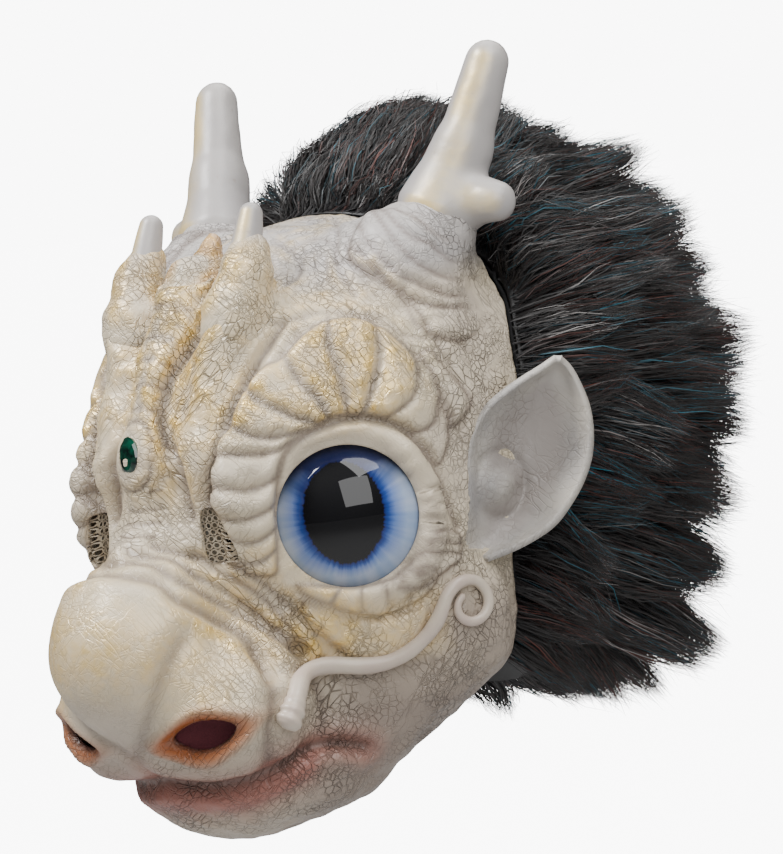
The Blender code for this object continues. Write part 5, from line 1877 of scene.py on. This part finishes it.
def long_locks():
    """The middle lines of the long locks: each leaves the mane's form square to it,
    is drawn back, and droops as it goes."""
    lines = []
    for ring in LOCK_RINGS:
        for number, turn in enumerate(np.linspace(*LOCK_TURNS, ring.count)):
            tilt = np.radians(ring.tilt)
            ray = np.array(
                (np.sin(tilt) * np.cos(turn), np.cos(tilt), np.sin(tilt) * np.sin(turn))
            )
            root = outermost(LOCK_HEART, ray[None], MANE_FORMS)[0]
            along = unit(ray + LOCK_SWEEP)
            length = ring.length * MM * (1.0 + 0.12 * np.cos(2.4 * number + ring.tilt))
            t = STRAND_STEPS[:, None]
            path = root - LOCK_SINK * along + (length + 10 * MM) * t * along
            path[:, 2] -= LOCK_DROOP * t[:, 0] ** 2
            lines += [path, path * (-1, 1, 1)]
    return np.array(lines)


def fur_lengths(root, square):
    """How long fur is at a root: short on the crown, at its hem and at the nape, and
    long on the sides."""
    crown = eased(square[:, 2], 0.35, 0.85) * eased(root[:, 1] / MM, 150, 90)
    hem = eased(root[:, 1] / MM, 75, 20)
    nape = eased(root[:, 2] / MM, -95, -130) * eased(np.abs(root[:, 0]) / MM, 66, 40)
    behind = eased(square[:, 1], 0.7, 0.95) * (1 - nape) * (1 - crown)
    less = LESS_ON_CROWN * crown + LESS_AT_HEM * hem
    less = less + LESS_AT_NAPE * nape * (1 - hem) + LESS_BEHIND * behind
    return (FUR_LENGTH - less) * MM


def fur_strands():
    """The paths of all strands. Locks come first, then tufts that lean into them, then
    strands that lean into the tufts, more so towards their tips: each path moves
    towards its leader's by the pull times a power of the way along it."""
    dice = np.random.default_rng(7)
    outer, _ = fur_base()
    lock_root, lock_square = scattered(outer, LOOSE_LOCKS, dice)
    lengths = fur_lengths(lock_root, lock_square) * dice.uniform(0.85, 1.2, LOOSE_LOCKS)
    stray = dice.normal(0, LOCK_STRAY, (LOOSE_LOCKS, 3))
    loose = combed(lock_root, lock_square, lengths, stray)
    locks = np.concatenate([loose, long_locks()])
    widths = np.where(np.arange(len(locks)) < LOOSE_LOCKS, 1.0, LONG_LOCK_WIDTH)
    root, square = scattered(outer, TUFTS, dice)
    lengths = fur_lengths(root, square) * dice.uniform(0.75, 1.1, TUFTS)
    tufts = combed(root, square, lengths, dice.normal(0, TUFT_STRAY, (TUFTS, 3)))
    lock = nearest_of(root, locks[:, 0], widths)
    pull = (LOCK_PULL * STRAND_STEPS**0.8)[None, :, None]
    tufts = tufts + pull * (locks[lock] - tufts)
    root, square = scattered(outer, STRANDS, dice)
    lengths = fur_lengths(root, square) * dice.uniform(0.55, 1.15, STRANDS)
    hem = eased(root[:, 1] / MM, 60, 36) * (1 - eased(square[:, 2], 0.3, 0.8))
    root = root - np.array((0, HEM_OVERLAP, 0)) * (hem * dice.random(STRANDS))[:, None]
    paths = combed(root, square, lengths, dice.normal(0, STRAND_STRAY, (STRANDS, 3)))
    tuft = nearest_of(root, tufts[:, 0], np.ones(TUFTS))
    pull = (TUFT_PULL * STRAND_STEPS**0.7)[None, :, None]
    pull = pull * dice.uniform(0.6, 1.05, (STRANDS, 1, 1))
    paths = paths + pull * (tufts[tuft] - paths)
    wander = dice.normal(0, STRAND_WANDER, paths.shape) * STRAND_STEPS[None, :, None]
    return paths + wander, square, tuft, lock[tuft], dice


def ribbons(paths, square, dice):
    """A flat ribbon along each path, turned at random about it, that narrows to its
    tip: two points at each step and four faces."""
    tangent = unit(np.gradient(paths, axis=1))
    side = unit(np.cross(tangent, square[:, None]))
    lean = dice.uniform(-0.9, 0.9, (len(paths), 1, 1))
    side = np.cos(lean) * side + np.sin(lean) * np.cross(tangent, side)
    width = STRAND_WIDTH * np.interp(STRAND_STEPS, (0, 0.5, 1), (0.9, 1.0, 0.12))
    half = side * width[None, :, None] / 2 * dice.uniform(0.6, 1.3, (len(paths), 1, 1))
    points = np.stack([paths - half, paths + half], axis=2)
    steps = len(STRAND_STEPS)
    k = np.arange(steps - 1) * 2
    quads = np.stack([k, k + 1, k + 3, k + 2], axis=-1)
    faces = quads[None] + (np.arange(len(paths)) * 2 * steps)[:, None, None]
    return points.reshape(len(paths), -1, 3), faces.reshape(-1, 4)


def fur_material():
    """Each strand's own tone and tint, darker towards its root, with a soft gloss."""
    material, tree, shader = new_material("mane_fur")
    tone = layer(tree, "tone")
    colour = mixed(tree, ramp(tree, tone, 0.0, 0.75), rgb(17, 15, 15), rgb(52, 49, 48))
    colour = mixed(tree, ramp(tree, tone, 0.72, 1.0), colour, rgb(160, 156, 154))
    colour = mixed(tree, ramp(tree, layer(tree, "tint"), 0.62, 1.3), colour, rgb(34, 104, 122))
    colour = mixed(tree, ramp(tree, layer(tree, "tint"), -0.5, -1.2), colour, rgb(92, 50, 42))
    root = ramp(tree, layer(tree, "along"), 0.0, 0.6, 0.8, 0.0)
    colour = mixed(tree, root, colour, rgb(12, 10, 12))
    feed(tree, shader, {"Base Color": colour, "Roughness": 0.5, "Specular IOR Level": 0.4})
    return material


def make_mane():
    """The dark pile, and the strands in three pieces: those of the crown, where the
    fur faces up by more than its slope, and those of each side."""
    material = fur_material()
    outer, inner = fur_base()
    points, faces = two_walls(outer, inner)
    pile = new_piece("fur_pile", points, faces, material, "mane_fur",
                     tone=np.zeros(len(points)), tint=np.zeros(len(points)),
                     along=np.zeros(len(points)))
    paths, square, tuft, lock, dice = fur_strands()
    pieces = [pile]
    tone = (dice.random(lock.max() + 1) * 0.3)[lock] + (dice.random(TUFTS) * 0.25)[tuft]
    tone = tone + dice.random(STRANDS) ** 2 * 0.5
    tone = tone * (1 - 0.45 * eased(square[:, 2], 0.4, 0.9))
    tint = dice.normal(0, 0.28, TUFTS)[tuft] + dice.normal(0, 0.42, STRANDS)
    crown = square[:, 2] > CROWN_SLOPE
    zones = {"crown": crown, "left": ~crown & (paths[:, 0, 0] > 0),
             "right": ~crown & (paths[:, 0, 0] <= 0)}
    for zone, belongs in zones.items():
        points, faces = ribbons(paths[belongs], square[belongs], dice)
        shape = points.shape[:2]
        pieces.append(new_piece(
            f"fur_{zone}", points, faces, material, "mane_fur",
            tone=np.broadcast_to(tone[belongs][:, None], shape),
            tint=np.broadcast_to(tint[belongs][:, None], shape),
            along=np.broadcast_to(np.repeat(STRAND_STEPS, 2), shape),
        ))
    for piece in pieces:
        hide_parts("mane")


make_mane()
